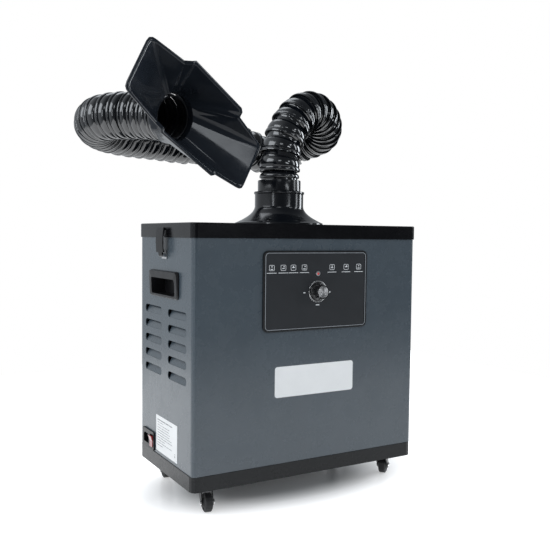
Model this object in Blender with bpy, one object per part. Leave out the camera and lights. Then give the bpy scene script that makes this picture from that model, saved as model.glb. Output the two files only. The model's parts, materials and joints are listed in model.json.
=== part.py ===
"""Portable fume extractor: a wheeled filter cabinet with a ring-jointed suction arm and a wide hood.

Metres, +Z up. The origin is the centre of the tray's underside, +X runs to the right along the
front and -Y points out of the front. The casters reach below the origin.
"""

import math

import bpy
import bmesh
from mathutils import Matrix, Vector

# Clearance between touching pieces, and how far a cutting solid runs past a wall
FIT = 0.0003
OVERRUN = 0.006

# Sides of the round shapes, from the largest to the smallest
LARGE_SIDES = 28
ROUND_SIDES = 24
SMALL_SIDES = 16
PIN_SIDES = 12
SCREW_SIDES = 8

# Cabinet
LID_WIDTH = 0.435
LID_DEPTH = 0.234
CABINET_HEIGHT = 0.415
LID_SKIRT = 0.0235
LID_CORNER = 0.009
LID_SHEET = 0.0017
LID_EDGE_ROUND = 0.003
SHEET = 0.0015
SHEET_LIP = 0.012
LIP_CORNER = 0.004
TRAY_HEIGHT = 0.024
TRAY_MARGIN = 0.001
TRAY_CORNER = 0.011
GASKET_THICKNESS = 0.0025
GASKET_WIDTH = 0.007

BODY_WIDTH = LID_WIDTH - 2 * (LID_SHEET + FIT)
BODY_DEPTH = LID_DEPTH - 2 * (LID_SHEET + FIT)
BODY_CORNER = LID_CORNER - LID_SHEET - FIT
BODY_BASE = TRAY_HEIGHT + FIT
GASKET_TOP = CABINET_HEIGHT - LID_SHEET - FIT
GASKET_BASE = GASKET_TOP - GASKET_THICKNESS
CHAMBER_TOP = GASKET_BASE - FIT
CHAMBER_RIM = CHAMBER_TOP - SHEET
BODY_TOP = CHAMBER_RIM - FIT

# Louvres in both end walls
LOUVRE_LENGTH = 0.077
LOUVRE_HEIGHT = 0.013
LOUVRE_PITCH = 0.0254
LOUVRE_ROWS = 5
LOUVRE_COLUMN_SPACING = 0.104
LOUVRE_DROP = 0.146
LOUVRE_TOP_ROW = CABINET_HEIGHT - LOUVRE_DROP
LOUVRE_DEPTH = 0.007

# Control panel on the front, with its knob and lamp
PANEL_WIDTH = 0.204
PANEL_HEIGHT = 0.131
PANEL_X = 0.006
PANEL_DROP = 0.1085
PANEL_Z = CABINET_HEIGHT - PANEL_DROP
PANEL_THICKNESS = 0.0022
PANEL_RIM_WIDTH = 0.004
PANEL_RIM_HEIGHT = 0.0008
PANEL_CORNER = 0.009
PANEL_CUTOUT_WIDTH = 0.150
PANEL_CUTOUT_HEIGHT = 0.085
KNOB_SHIFT = 0.0013
KNOB_DROP = 0.002
KNOB_X = PANEL_X + KNOB_SHIFT
KNOB_Z = PANEL_Z - KNOB_DROP
KNOB_HEIGHT = 0.0165
KNOB_SKIRT_RADIUS = 0.0150
KNOB_SKIRT_HEIGHT = 0.003
KNOB_BASE_RADIUS = 0.0135
KNOB_TOP_RADIUS = 0.0115
KNOB_FLUTE = 0.0007
KNOB_CAP_RADIUS = 0.0097
KNOB_CAP_HEIGHT = 0.0012
SHAFT_RADIUS = 0.003
BUSHING_RADIUS = 0.0044
BUSHING_REACH = 0.0055
POT_RADIUS = 0.0080
POT_DEPTH = 0.0090
DIAL_RADIUS = 0.0182
DIAL_BORE = 0.0160
DIAL_HEIGHT = 0.0008
LAMP_RISE = 0.0295
LAMP_RADIUS = 0.0042
LAMP_STEM = 0.0031
LENS_RADIUS = 0.0022
LENS_SHOULDER_SHARE = 0.7
LENS_RISE_SHARES = (0.5, 0.8)

# Carry handles let into both end walls
HANDLE_WIDTH = 0.122
HANDLE_HEIGHT = 0.044
HANDLE_DROP = 0.100
HANDLE_Z = CABINET_HEIGHT - HANDLE_DROP
HANDLE_PROUD = 0.004
HANDLE_BULGE = 0.004
HANDLE_CORNER = 0.006
HANDLE_OPENING_WIDTH = 0.102
HANDLE_OPENING_HEIGHT = 0.027
HANDLE_OPENING_DROP = 0.004
HANDLE_CUP_DEPTH = 0.020
HANDLE_WALL = 0.0015

# Lid latches on both end walls
LATCH_WIDTH = 0.030
LATCH_HEIGHT = 0.050
LATCH_DROP = 0.0525
LATCH_PIVOT_Z = CABINET_HEIGHT - LATCH_DROP
LATCH_PIVOT_OUT = 0.0050
LATCH_STRAP = 0.0018
LATCH_PROUD = 0.0104
LATCH_BASE_WIDTH = 0.0206
LATCH_TONGUE_WIDTH = 0.0150
LATCH_PIN_RADIUS = 0.0013
LATCH_EYE_RADIUS = 0.0030
LATCH_PLATE = 0.0012
STRAP_FRONT_SHARES = (0.4, 0.7)
STRAP_BACK_SHARES = (0.6, 0.25)
STRAP_FOOT_SHARE = 1.5
TONGUE_SHARES = (0.7, 1.5)
EAR_SHARES = (0.7, 0.9)
KEEPER_WIDTH = 0.020
KEEPER_REACH = 0.0038
KEEPER_DROP = 0.012

# Mains inlet with its rocker switch, low on the left end wall
INLET_Y = 0.071
INLET_Z = 0.041
INLET_WIDTH = 0.054
INLET_HEIGHT = 0.0315
INLET_FLANGE = 0.0025
INLET_BODY_WIDTH = 0.047
INLET_BODY_HEIGHT = 0.0265
INLET_BODY_DEPTH = 0.026
INLET_CORNER = 0.003
SOCKET_WIDTH = 0.0245
SOCKET_HEIGHT = 0.0165
SOCKET_DEPTH = 0.018
SOCKET_SHIFT = 0.0085
PIN_WIDTH = 0.002
PIN_HEIGHT = 0.004
PIN_LENGTH = 0.014
PIN_PITCH = 0.007
ROCKER_WIDTH = 0.0125
ROCKER_HEIGHT = 0.0196
ROCKER_SHIFT = 0.0165
ROCKER_TILT = 8
ROCKER_DEPTH = 0.0062
ROCKER_PROUD = 0.0026
ROCKER_PIVOT_DEPTH = 0.0015
ROCKER_POCKET = 0.010
ROCKER_GAP = 0.0005
ROCKER_HEEL_SHARE = 0.6

# Casters
CASTER_HEIGHT = 0.041
WHEEL_RADIUS = 0.015
WHEEL_WIDTH = 0.0135
CASTER_TRAIL = 0.013
CASTER_INSET_X = 0.0395
CASTER_INSET_Y = 0.037
CASTER_PLATE_LENGTH = 0.040
CASTER_PLATE_WIDTH = 0.032
CASTER_PLATE = 0.0018
KINGPIN_RADIUS = 0.0085
KINGPIN_HEIGHT = 0.0026
CROWN_RADIUS = 0.0115
CROWN_THICKNESS = 0.002
FORK_SHARES = (0.7, 0.8)
WHEEL_SHARES = (0.45, 0.12, 0.8)
FORK_SHEET = 0.0018
FORK_GAP = 0.0012
AXLE_RADIUS = 0.0024
AXLE_HEAD_RADIUS = 0.0042
AXLE_HEAD = 0.0018
RUNNING_GAP = 0.0004
CASTERS = (("front_left", -1, -1, 170), ("front_right", 1, -1, -50),
           ("back_left", -1, 1, -9), ("back_right", 1, 1, -40))

# Filter chamber, filters and blower
CHAMBER_MARGIN_X = 0.0295
CHAMBER_MARGIN_Y = 0.020
CHAMBER_WIDTH = BODY_WIDTH - 2 * CHAMBER_MARGIN_X
CHAMBER_DEPTH = BODY_DEPTH - 2 * CHAMBER_MARGIN_Y
CHAMBER_SHIFT_Y = 0.003
CHAMBER_HEIGHT = 0.140
CHAMBER_FLOOR = CABINET_HEIGHT - CHAMBER_HEIGHT
CHAMBER_CORNER = 0.006
CHAMBER_FLANGE_MARGIN = 0.004
FILTER_GAP = 0.0008
FILTER_HEIGHT = 0.085
FILTER_WALL = 0.008
PLEAT_COUNT = 16
PLEAT_THICKNESS = 0.004
PREFILTER_THICKNESS = 0.010
INLET_RING_RADIUS = 0.062
THROAT_RADIUS = 0.046
THROAT_DROP = 0.016
RING_SHEET = 0.0015
IMPELLER_RADIUS = 0.075
IMPELLER_EYE = 0.050
IMPELLER_DROP = 0.011
IMPELLER_TOP = CHAMBER_FLOOR - IMPELLER_DROP
IMPELLER_HEIGHT = 0.046
IMPELLER_SHEET = 0.002
HUB_RADIUS = 0.014
BLADE_COUNT = 7
BLADE_SHEET = 0.002
BLADE_LEAD_SHARE = 0.72
BLADE_SWEEP = 52
BLADE_LEAN = 57
HUB_SHARES = (1.2, 0.45)
SHROUD_DROP_SHARE = 0.22
SHROUD_SHARES = (0.6, 0.8, 0.5)
MOTOR_RADIUS = 0.036
MOTOR_HEIGHT = 0.046
MOTOR_SHAFT_RADIUS = 0.004
BRACKET_WIDTH = 0.050
BRACKET_REACH = 0.094
BRACKET_SHEET = 0.003
BRACKET_FOOT = 0.014

# Control board on the tray floor
BOARD_X = -0.105
BOARD_Y = -0.020
BOARD_WIDTH = 0.090
BOARD_DEPTH = 0.060
BOARD_SHEET = 0.0016
STANDOFF_HEIGHT = 0.008
STANDOFF_RADIUS = 0.003
STANDOFF_INSET = 0.005

# Corners of the transformer and the relay as shares of the board's width and depth, and their height
TRANSFORMER_SHARES = ((-0.38, -0.30), (-0.04, 0.20), 0.40)
RELAY_SHARES = ((0.08, -0.30), (0.28, 0), 0.26)

# Duct flange on the lid
FLANGE_RADIUS = 0.078
FLANGE_EDGE = 0.0035
FLARE_RADIUS = 0.0765
NECK_RADIUS = 0.043
FLARE_HEIGHT = 0.033
FLANGE_HEIGHT = 0.058
NECK_RIM_RADIUS = 0.0445
NECK_RIM_HEIGHT = 0.004
FLANGE_WALL = 0.003
FLARE_STEPS = 6
FLANGE_LIP_BORE = 0.0355
FLANGE_LIP = 0.003
SCREW_CIRCLE = 0.0665
SCREW_HEAD_RADIUS = 0.0038
SCREW_HEAD = 0.0022
SCREW_CROWN_SHARE = 0.6
SCREW_RADIUS = 0.0019
SCREW_REACH = 0.008
SCREW_COUNT = 4

# Suction arm: a chain of rings, each with a flared skirt over the narrow end of the one before
CUFF_RADIUS = 0.038
CUFF_HEIGHT = 0.020
CUFF_SPIGOT_RADIUS = 0.0347
CUFF_BARB_RADIUS = 0.0372
CUFF_BARB = 0.003
ARM_REACH = 0.300
ARM_END_STEP = 0.066
ARM_BORE = 0.0275
RING_NECK = 0.0335
RING_LIP = 0.0366
RING_WAIST = 0.0347
BALL_RADIUS = 0.0322
BALL_CLEARANCE = 0.0008
BALL_LENGTH = 0.0095
BALL_NECK = 0.0146
BALL_FOOT = 0.0136
BALL_ROW_SHARE = 0.7
SOCKET_ROW_SHARES = (0.5, 0.85)
SKIRT_REACH = 0.006
SKIRT_LIP = 0.0369
PIVOT_RINGS = (2, 21, 26, 31, 44)
ARM_SIDES = 12
SPAN_SAMPLES = 24

# Control points of the arm's curve above the cuff, chosen by hand, as shares of the arm's reach
ARM_ROUTE_SHARES = (
    (0, 0, 0.230), (0.155, 0.015, 0.445), (0.350, 0.090, 0.440), (0.495, 0.240, 0.315),
    (0.395, 0.470, 0.300), (0.245, 0.500, 0.140), (-0.055, 0.465, 0.300), (-0.335, 0.495, 0.220),
    (-0.545, 0.470, 0.245), (-0.780, 0.400, 0.240), (-1.025, 0.275, 0.255), (-1.075, 0.075, 0.290))

# Runs of rings from the cuff to the hood: how many rings a run has, and the share of the arm's length
# at which it ends. The rings by the cuff stand drawn out and those of the left loop stand closed.
RING_RUN_SHARES = (
    (1, 0.0164), (1, 0.0451), (1, 0.0759), (1, 0.1036), (2, 0.1456), (3, 0.2031), (2, 0.2359),
    (3, 0.2769), (1, 0.2974), (1, 0.3200), (18, 0.7590), (7, 0.8533), (7, 1))
RING_COUNT = sum(count for count, share in RING_RUN_SHARES)

# Hood: its neck's place above the cuff as shares of the arm's reach, and where it points, in degrees
HOOD_PLACE_SHARES = (-0.815, -0.380, 0.246)
HOOD_HEADING = -67.5
HOOD_PITCH = -8.7
HOOD_ROLL = -24.8
HOOD_HALF_LENGTH = 0.139
HOOD_HALF_WIDTH = 0.058
HOOD_DEPTH = 0.051
HOOD_WALL = 0.0024
HOOD_RIM = 0.003
HOOD_RIM_DEPTH = 0.003
HOOD_NECK_BORE = 0.036
HOOD_NECK_WALL = 0.003
HOOD_COLLAR = 0.014
HOOD_LIP_BORE = 0.0343
HOOD_LIP = 0.003
HOOD_BARB_RADIUS = 0.0354
HOOD_BARB = 0.003
HOOD_BUMP_RISE = 0.008

# A quarter of the hood's mouth, from the middle of an end to the middle of a long side: shares of the
# half length, of the half width and of the quarter turn at the neck, and whether the point stands
# forward with the raised middle part of the mouth
MOUTH_SHARES = (
    (1.000, 0.000, 0.00, 0), (1.000, 0.530, 0.22, 0), (0.990, 0.640, 0.29, 0), (0.960, 0.695, 0.36, 0),
    (0.915, 0.720, 0.43, 0), (0.510, 0.850, 0.62, 0), (0.455, 0.930, 0.68, 1), (0.420, 1.000, 0.73, 1),
    (0.200, 1.000, 0.87, 1), (0.000, 1.000, 1.00, 1))

# Colour, roughness and metallic value of each finish
FINISHES = {
    "blue_grey_paint": ((0.115, 0.150, 0.180), 0.42, 0.0),
    "black_paint": ((0.012, 0.012, 0.013), 0.38, 0.0),
    "dark_grey_paint": ((0.030, 0.032, 0.035), 0.50, 0.0),
    "gloss_black_plastic": ((0.008, 0.009, 0.011), 0.16, 0.0),
    "black_plastic": ((0.015, 0.015, 0.016), 0.40, 0.0),
    "panel_plastic": ((0.025, 0.028, 0.032), 0.45, 0.0),
    "red_plastic": ((0.550, 0.020, 0.020), 0.25, 0.0),
    "steel": ((0.560, 0.560, 0.570), 0.32, 1.0),
    "aluminium": ((0.800, 0.800, 0.810), 0.28, 1.0),
    "rubber": ((0.020, 0.020, 0.020), 0.75, 0.0),
    "filter_fibre": ((0.800, 0.800, 0.780), 0.90, 0.0),
    "board_green": ((0.020, 0.180, 0.070), 0.50, 0.0),
}

# Turns a flat shape so that it faces out of the front wall, and the end walls in turn
FRONT = Matrix.Translation((0, -BODY_DEPTH / 2, 0)) @ Matrix.Rotation(math.radians(90), 4, "X")


def end_wall(side):
    """Frame of an end wall: its Z points out of the wall, its Y points up. side is -1 for the left."""
    out = Matrix.Translation((side * BODY_WIDTH / 2, 0, 0))
    return out @ Matrix.Rotation(math.radians(90) * side, 4, "Z") @ Matrix.Rotation(math.radians(90), 4, "X")


# Turns a shape drawn in the X-Y plane edge on, so that its X points out along Z
EDGEWISE = Matrix.Rotation(math.radians(-90), 4, "Y")


# Meshes

def finished(form):
    """Mesh of a bmesh, with its faces pointing out."""
    bmesh.ops.recalc_face_normals(form, faces=form.faces[:])
    mesh = bpy.data.meshes.new("form")
    form.to_mesh(mesh)
    form.free()
    return mesh


def skin(loops, closed=False):
    """Solid skinned over loops of equal count, capped at its two ends, or joined end to end."""
    form = bmesh.new()
    rows = [[form.verts.new(point) for point in loop] for loop in loops]
    pairs = list(zip(rows, rows[1:]))
    if closed:
        pairs.append((rows[-1], rows[0]))
    else:
        form.faces.new(rows[0])
        form.faces.new(rows[-1])
    for low, high in pairs:
        for index, vert in enumerate(low):
            after = (index + 1) % len(low)
            form.faces.new((vert, low[after], high[after], high[index]))
    return finished(form)


def rounded_loop(width, depth, radius, height, middle=(0, 0), steps=3):
    """Corners of a rounded rectangle at one height, anticlockwise."""
    points = []
    for quarter, (side_x, side_y) in enumerate(((1, 1), (-1, 1), (-1, -1), (1, -1))):
        centre_x = middle[0] + side_x * (width / 2 - radius)
        centre_y = middle[1] + side_y * (depth / 2 - radius)
        for step in range(steps + 1):
            angle = math.radians(90 * (quarter + step / steps))
            points.append(Vector((centre_x + radius * math.cos(angle),
                                  centre_y + radius * math.sin(angle), height)))
    return points


def circle_loop(radius, height, count, flute=0):
    """Points of a circle at one height, with every second point drawn in by the flute's depth."""
    points = []
    for index in range(count):
        angle = math.tau * index / count
        reach = radius - flute * (index % 2)
        points.append(Vector((reach * math.cos(angle), reach * math.sin(angle), height)))
    return points


def turned(profile, count):
    """Solid of a profile of (radius, height) points turned about Z, or (radius, height, flute)."""
    form = bmesh.new()
    rows = []
    for radius, height, *flute in profile:
        if radius == 0:
            rows.append([form.verts.new((0, 0, height))] * count)
        else:
            loop = circle_loop(radius, height, count, *flute)
            rows.append([form.verts.new(point) for point in loop])
    pairs = list(zip(rows, rows[1:]))
    if profile[0][0] != 0:
        pairs.append((rows[-1], rows[0]))
    for low, high in pairs:
        for index in range(count):
            after = (index + 1) % count
            corners = list(dict.fromkeys((low[index], low[after], high[after], high[index])))
            if len(corners) > 2:
                form.faces.new(corners)
    return finished(form)


def prism(outline, low, high):
    """Solid of a flat outline of (x, y) points between two heights."""
    return skin([[Vector((x, y, height)) for x, y in outline] for height in (low, high)])


def slab(width, depth, radius, low, high, middle=(0, 0)):
    """Plate with rounded corners between two heights."""
    return skin([rounded_loop(width, depth, radius, height, middle) for height in (low, high)])


def block(low, high):
    """Box between two opposite corners."""
    outline = ((low[0], low[1]), (high[0], low[1]), (high[0], high[1]), (low[0], high[1]))
    return prism(outline, low[2], high[2])


def placed(mesh, matrix):
    """The mesh, moved by a matrix."""
    mesh.transform(matrix)
    return mesh


def gathered(meshes):
    """One mesh that holds several separate solids."""
    form = bmesh.new()
    for mesh in meshes:
        form.from_mesh(mesh)
        bpy.data.meshes.remove(mesh)
    result = bpy.data.meshes.new("form")
    form.to_mesh(result)
    form.free()
    return result


def combined(base, tools, operation):
    """The base mesh with every tool mesh cut from it or joined to it, by exact booleans."""
    holder = bpy.data.objects.new("base", base)
    bpy.context.collection.objects.link(holder)
    helpers = []
    for tool in tools:
        helper = bpy.data.objects.new("tool", tool)
        bpy.context.collection.objects.link(helper)
        modifier = holder.modifiers.new("combine", "BOOLEAN")
        modifier.operation = operation
        modifier.solver = "EXACT"
        modifier.object = helper
        helpers.append(helper)
    graph = bpy.context.evaluated_depsgraph_get()
    result = bpy.data.meshes.new_from_object(holder.evaluated_get(graph))
    for used in [holder, *helpers]:
        shape = used.data
        bpy.data.objects.remove(used)
        bpy.data.meshes.remove(shape)
    return result


def cut(base, *tools):
    """The base mesh without the space of the tools."""
    return combined(base, tools, "DIFFERENCE")


def joined(base, *tools):
    """The base mesh and the tools as one solid."""
    return combined(base, tools, "UNION")


# Objects

WORLD_PLACES = {}


def material(name, finish):
    """Principled material of one piece in one of the finishes."""
    colour, roughness, metallic = FINISHES[finish]
    made = bpy.data.materials.new(name)
    made.use_nodes = True
    shader = made.node_tree.nodes["Principled BSDF"]
    shader.inputs["Base Color"].default_value = (*colour, 1)
    shader.inputs["Roughness"].default_value = roughness
    shader.inputs["Metallic"].default_value = metallic
    made.diffuse_color = (*colour, 1)
    return made


def put(thing, place, parent):
    """Links an object at a place in the world, under a parent."""
    bpy.context.collection.objects.link(thing)
    WORLD_PLACES[thing.name] = place
    if parent:
        thing.parent = parent
        thing.matrix_local = WORLD_PLACES[parent.name].inverted() @ place
    else:
        thing.matrix_local = place
    return thing


def piece(name, mesh, finish, place=Matrix(), parent=None, sharp=32):
    """Named object of one sub-part, with its own material, shaded smooth up to the sharp angle."""
    thing = bpy.data.objects.new(name, mesh)
    mesh.name = name
    mesh.materials.clear()
    mesh.materials.append(material(name, finish))
    mesh.shade_smooth()
    mesh.set_sharp_from_angle(angle=math.radians(sharp))
    return put(thing, place, parent)


def pivot(name, place, parent=None):
    """Empty whose Z axis is a joint's axis."""
    return put(bpy.data.objects.new(name, None), place, parent)


# Cabinet

def base_tray():
    inner_width = BODY_WIDTH - 2 * SHEET
    inner_depth = BODY_DEPTH - 2 * SHEET
    inner_corner = BODY_CORNER - SHEET
    lip_width = BODY_WIDTH - 2 * SHEET_LIP
    lip_depth = BODY_DEPTH - 2 * SHEET_LIP
    width = BODY_WIDTH + 2 * TRAY_MARGIN
    depth = BODY_DEPTH + 2 * TRAY_MARGIN
    loops = [rounded_loop(width, depth, TRAY_CORNER, 0),
             rounded_loop(width, depth, TRAY_CORNER, TRAY_HEIGHT),
             rounded_loop(lip_width, lip_depth, LIP_CORNER, TRAY_HEIGHT),
             rounded_loop(lip_width, lip_depth, LIP_CORNER, TRAY_HEIGHT - SHEET),
             rounded_loop(inner_width, inner_depth, inner_corner, TRAY_HEIGHT - SHEET),
             rounded_loop(inner_width, inner_depth, inner_corner, SHEET)]
    piece("base_tray", skin(loops), "dark_grey_paint")


def louvre_places():
    """Middle of each louvre across and up an end wall."""
    places = []
    for row in range(LOUVRE_ROWS):
        for side in (-1, 1):
            places.append((side * LOUVRE_COLUMN_SPACING / 2, LOUVRE_TOP_ROW - row * LOUVRE_PITCH))
    return places


def louvre_slots(side):
    """Cutting solid of an end wall's slots."""
    slots = [slab(LOUVRE_LENGTH, LOUVRE_HEIGHT, LOUVRE_HEIGHT / 2, -SHEET - OVERRUN, OVERRUN, place)
             for place in louvre_places()]
    return placed(gathered(slots), end_wall(side))


def louvre_blades(side):
    """Blades of an end wall's louvres, pressed inwards from the lower edge of each slot."""
    rooted = SHEET / 2
    half = LOUVRE_HEIGHT / 2
    outline = ((-rooted, -half - SHEET), (-rooted, -half - rooted / 2), (-LOUVRE_DEPTH, half - SHEET),
               (-LOUVRE_DEPTH - SHEET, half - SHEET), (-SHEET - FIT, -half - SHEET))
    blades = []
    for across, up in louvre_places():
        blade = prism(outline, -LOUVRE_LENGTH / 2 + half / 2, LOUVRE_LENGTH / 2 - half / 2)
        blades.append(placed(blade, Matrix.Translation((across, up, 0)) @ EDGEWISE))
    return placed(gathered(blades), end_wall(side))


def cabinet_shell():
    inner_width = BODY_WIDTH - 2 * SHEET
    inner_depth = BODY_DEPTH - 2 * SHEET
    inner_corner = BODY_CORNER - SHEET
    lip_width = BODY_WIDTH - 2 * SHEET_LIP
    lip_depth = BODY_DEPTH - 2 * SHEET_LIP
    shell = skin([rounded_loop(BODY_WIDTH, BODY_DEPTH, BODY_CORNER, BODY_BASE),
                  rounded_loop(BODY_WIDTH, BODY_DEPTH, BODY_CORNER, BODY_TOP),
                  rounded_loop(lip_width, lip_depth, LIP_CORNER, BODY_TOP),
                  rounded_loop(lip_width, lip_depth, LIP_CORNER, BODY_TOP - SHEET),
                  rounded_loop(inner_width, inner_depth, inner_corner, BODY_TOP - SHEET),
                  rounded_loop(inner_width, inner_depth, inner_corner, BODY_BASE + SHEET),
                  rounded_loop(lip_width, lip_depth, LIP_CORNER, BODY_BASE + SHEET),
                  rounded_loop(lip_width, lip_depth, LIP_CORNER, BODY_BASE)], closed=True)
    panel_hole = placed(slab(PANEL_CUTOUT_WIDTH, PANEL_CUTOUT_HEIGHT, PANEL_CORNER,
                             -SHEET - OVERRUN, OVERRUN, (PANEL_X, PANEL_Z)), FRONT)
    tools = [panel_hole]
    margin = 2 * (HANDLE_WALL + FIT)
    for side in (-1, 1):
        handle_hole = slab(HANDLE_OPENING_WIDTH + margin, HANDLE_OPENING_HEIGHT + margin, HANDLE_CORNER,
                           -SHEET - OVERRUN, OVERRUN, (0, HANDLE_Z - HANDLE_OPENING_DROP))
        tools.append(placed(handle_hole, end_wall(side)))
        tools.append(louvre_slots(side))
    inlet_hole = slab(INLET_BODY_WIDTH + 2 * FIT, INLET_BODY_HEIGHT + 2 * FIT, INLET_CORNER,
                      -SHEET - OVERRUN, OVERRUN, (-INLET_Y, INLET_Z))
    tools.append(placed(inlet_hole, end_wall(-1)))
    shell = cut(shell, *tools)
    shell = joined(shell, louvre_blades(-1), louvre_blades(1))
    piece("cabinet_shell", shell, "blue_grey_paint")


def lid():
    top = CABINET_HEIGHT
    inner_width = LID_WIDTH - 2 * LID_SHEET
    inner_depth = LID_DEPTH - 2 * LID_SHEET
    inner_corner = LID_CORNER - LID_SHEET
    slope = LID_EDGE_ROUND / 3
    loops = [rounded_loop(inner_width, inner_depth, inner_corner, top - LID_SHEET),
             rounded_loop(inner_width, inner_depth, inner_corner, top - LID_SKIRT),
             rounded_loop(LID_WIDTH, LID_DEPTH, LID_CORNER, top - LID_SKIRT),
             rounded_loop(LID_WIDTH, LID_DEPTH, LID_CORNER, top - LID_EDGE_ROUND / 2),
             rounded_loop(LID_WIDTH - slope, LID_DEPTH - slope, LID_CORNER - slope / 2, top - slope / 2),
             rounded_loop(LID_WIDTH - LID_EDGE_ROUND, LID_DEPTH - LID_EDGE_ROUND,
                          LID_CORNER - LID_EDGE_ROUND / 2, top)]
    hole = turned([(0, top - LID_SHEET - OVERRUN), (NECK_RADIUS - FLANGE_WALL, top - LID_SHEET - OVERRUN),
                   (NECK_RADIUS - FLANGE_WALL, top + OVERRUN), (0, top + OVERRUN)], LARGE_SIDES)
    holes = [hole]
    holes += screw_holes(top - LID_SHEET - OVERRUN, top + OVERRUN)
    piece("lid", cut(skin(loops), *holes), "black_paint")


def lid_gasket():
    outer_width = BODY_WIDTH - 2 * CHAMBER_FLANGE_MARGIN
    outer_depth = BODY_DEPTH - 2 * CHAMBER_FLANGE_MARGIN
    inner_width = outer_width - 2 * GASKET_WIDTH
    inner_depth = outer_depth - 2 * GASKET_WIDTH
    piece("lid_gasket", skin([rounded_loop(outer_width, outer_depth, CHAMBER_CORNER, GASKET_BASE),
                              rounded_loop(outer_width, outer_depth, CHAMBER_CORNER, GASKET_TOP),
                              rounded_loop(inner_width, inner_depth, LIP_CORNER, GASKET_TOP),
                              rounded_loop(inner_width, inner_depth, LIP_CORNER, GASKET_BASE)],
                             closed=True), "rubber")


# Control panel

PANEL_FACE = FIT + PANEL_THICKNESS


def control_panel():
    rim_front = PANEL_FACE + PANEL_RIM_HEIGHT
    inner_width = PANEL_WIDTH - 2 * PANEL_RIM_WIDTH
    inner_height = PANEL_HEIGHT - 2 * PANEL_RIM_WIDTH
    inner_corner = PANEL_CORNER - PANEL_RIM_WIDTH
    middle = (PANEL_X, PANEL_Z)
    plate = skin([rounded_loop(PANEL_WIDTH, PANEL_HEIGHT, PANEL_CORNER, FIT, middle),
                  rounded_loop(PANEL_WIDTH, PANEL_HEIGHT, PANEL_CORNER, PANEL_FACE, middle),
                  rounded_loop(PANEL_WIDTH - 2 * PANEL_RIM_HEIGHT, PANEL_HEIGHT - 2 * PANEL_RIM_HEIGHT,
                               PANEL_CORNER - PANEL_RIM_HEIGHT, rim_front, middle),
                  rounded_loop(inner_width, inner_height, inner_corner, rim_front, middle),
                  rounded_loop(inner_width, inner_height, inner_corner, PANEL_FACE, middle)])
    shaft_hole = turned([(0, -OVERRUN), (BUSHING_RADIUS + RUNNING_GAP, -OVERRUN),
                         (BUSHING_RADIUS + RUNNING_GAP, OVERRUN), (0, OVERRUN)], SMALL_SIDES)
    lamp_hole = turned([(0, -OVERRUN), (LAMP_STEM + RUNNING_GAP, -OVERRUN),
                        (LAMP_STEM + RUNNING_GAP, OVERRUN), (0, OVERRUN)], SMALL_SIDES)
    shaft_hole = placed(shaft_hole, Matrix.Translation((KNOB_X, KNOB_Z, 0)))
    lamp_hole = placed(lamp_hole, Matrix.Translation((KNOB_X, KNOB_Z + LAMP_RISE, 0)))
    piece("control_panel", cut(plate, shaft_hole, lamp_hole), "panel_plastic", FRONT)


def speed_control():
    place = FRONT @ Matrix.Translation((KNOB_X, KNOB_Z, 0))
    seat = PANEL_FACE + FIT
    bore = SHAFT_RADIUS + RUNNING_GAP
    dial = turned([(DIAL_BORE, seat), (DIAL_RADIUS, seat), (DIAL_RADIUS, seat + DIAL_HEIGHT),
                   (DIAL_BORE, seat + DIAL_HEIGHT)], LARGE_SIDES)
    piece("dial_ring", dial, "aluminium", place)

    sleeve = turned([(0, -POT_DEPTH), (POT_RADIUS, -POT_DEPTH), (POT_RADIUS, 0), (BUSHING_RADIUS, 0),
                     (BUSHING_RADIUS, BUSHING_REACH), (bore, BUSHING_REACH),
                     (bore, -POT_DEPTH + SHEET), (0, -POT_DEPTH + SHEET)], SMALL_SIDES)
    piece("potentiometer", sleeve, "steel", place)

    spin = pivot("speed_knob_axis", place)
    top = seat + KNOB_HEIGHT
    hollow_top = BUSHING_REACH + KNOB_CAP_HEIGHT
    bore_top = top - KNOB_CAP_HEIGHT - KNOB_SKIRT_HEIGHT
    hollow = BUSHING_RADIUS + LENS_RADIUS
    knob = turned([(0, bore_top), (bore, bore_top), (bore, hollow_top), (hollow, hollow_top), (hollow, seat),
                   (KNOB_SKIRT_RADIUS, seat), (KNOB_SKIRT_RADIUS, seat + KNOB_SKIRT_HEIGHT / 2),
                   (KNOB_BASE_RADIUS + KNOB_FLUTE, seat + KNOB_SKIRT_HEIGHT),
                   (KNOB_BASE_RADIUS, seat + KNOB_SKIRT_HEIGHT + KNOB_FLUTE, KNOB_FLUTE),
                   (KNOB_TOP_RADIUS, top - KNOB_CAP_HEIGHT, KNOB_FLUTE),
                   (KNOB_TOP_RADIUS - KNOB_FLUTE, top), (KNOB_CAP_RADIUS + FIT, top),
                   (KNOB_CAP_RADIUS + FIT, top - KNOB_CAP_HEIGHT), (0, top - KNOB_CAP_HEIGHT)], LARGE_SIDES)
    piece("speed_knob", knob, "black_plastic", place, spin)
    cap_base = top - KNOB_CAP_HEIGHT + FIT
    cap = turned([(0, cap_base), (KNOB_CAP_RADIUS, cap_base), (KNOB_CAP_RADIUS, top), (0, top - FIT)],
                 LARGE_SIDES)
    piece("knob_cap", cap, "aluminium", place, spin)
    shaft = turned([(0, -POT_DEPTH + SHEET + FIT), (SHAFT_RADIUS, -POT_DEPTH + SHEET + FIT),
                    (SHAFT_RADIUS, bore_top - FIT), (0, bore_top - FIT)], PIN_SIDES)
    piece("knob_shaft", shaft, "steel", place, spin)


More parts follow.
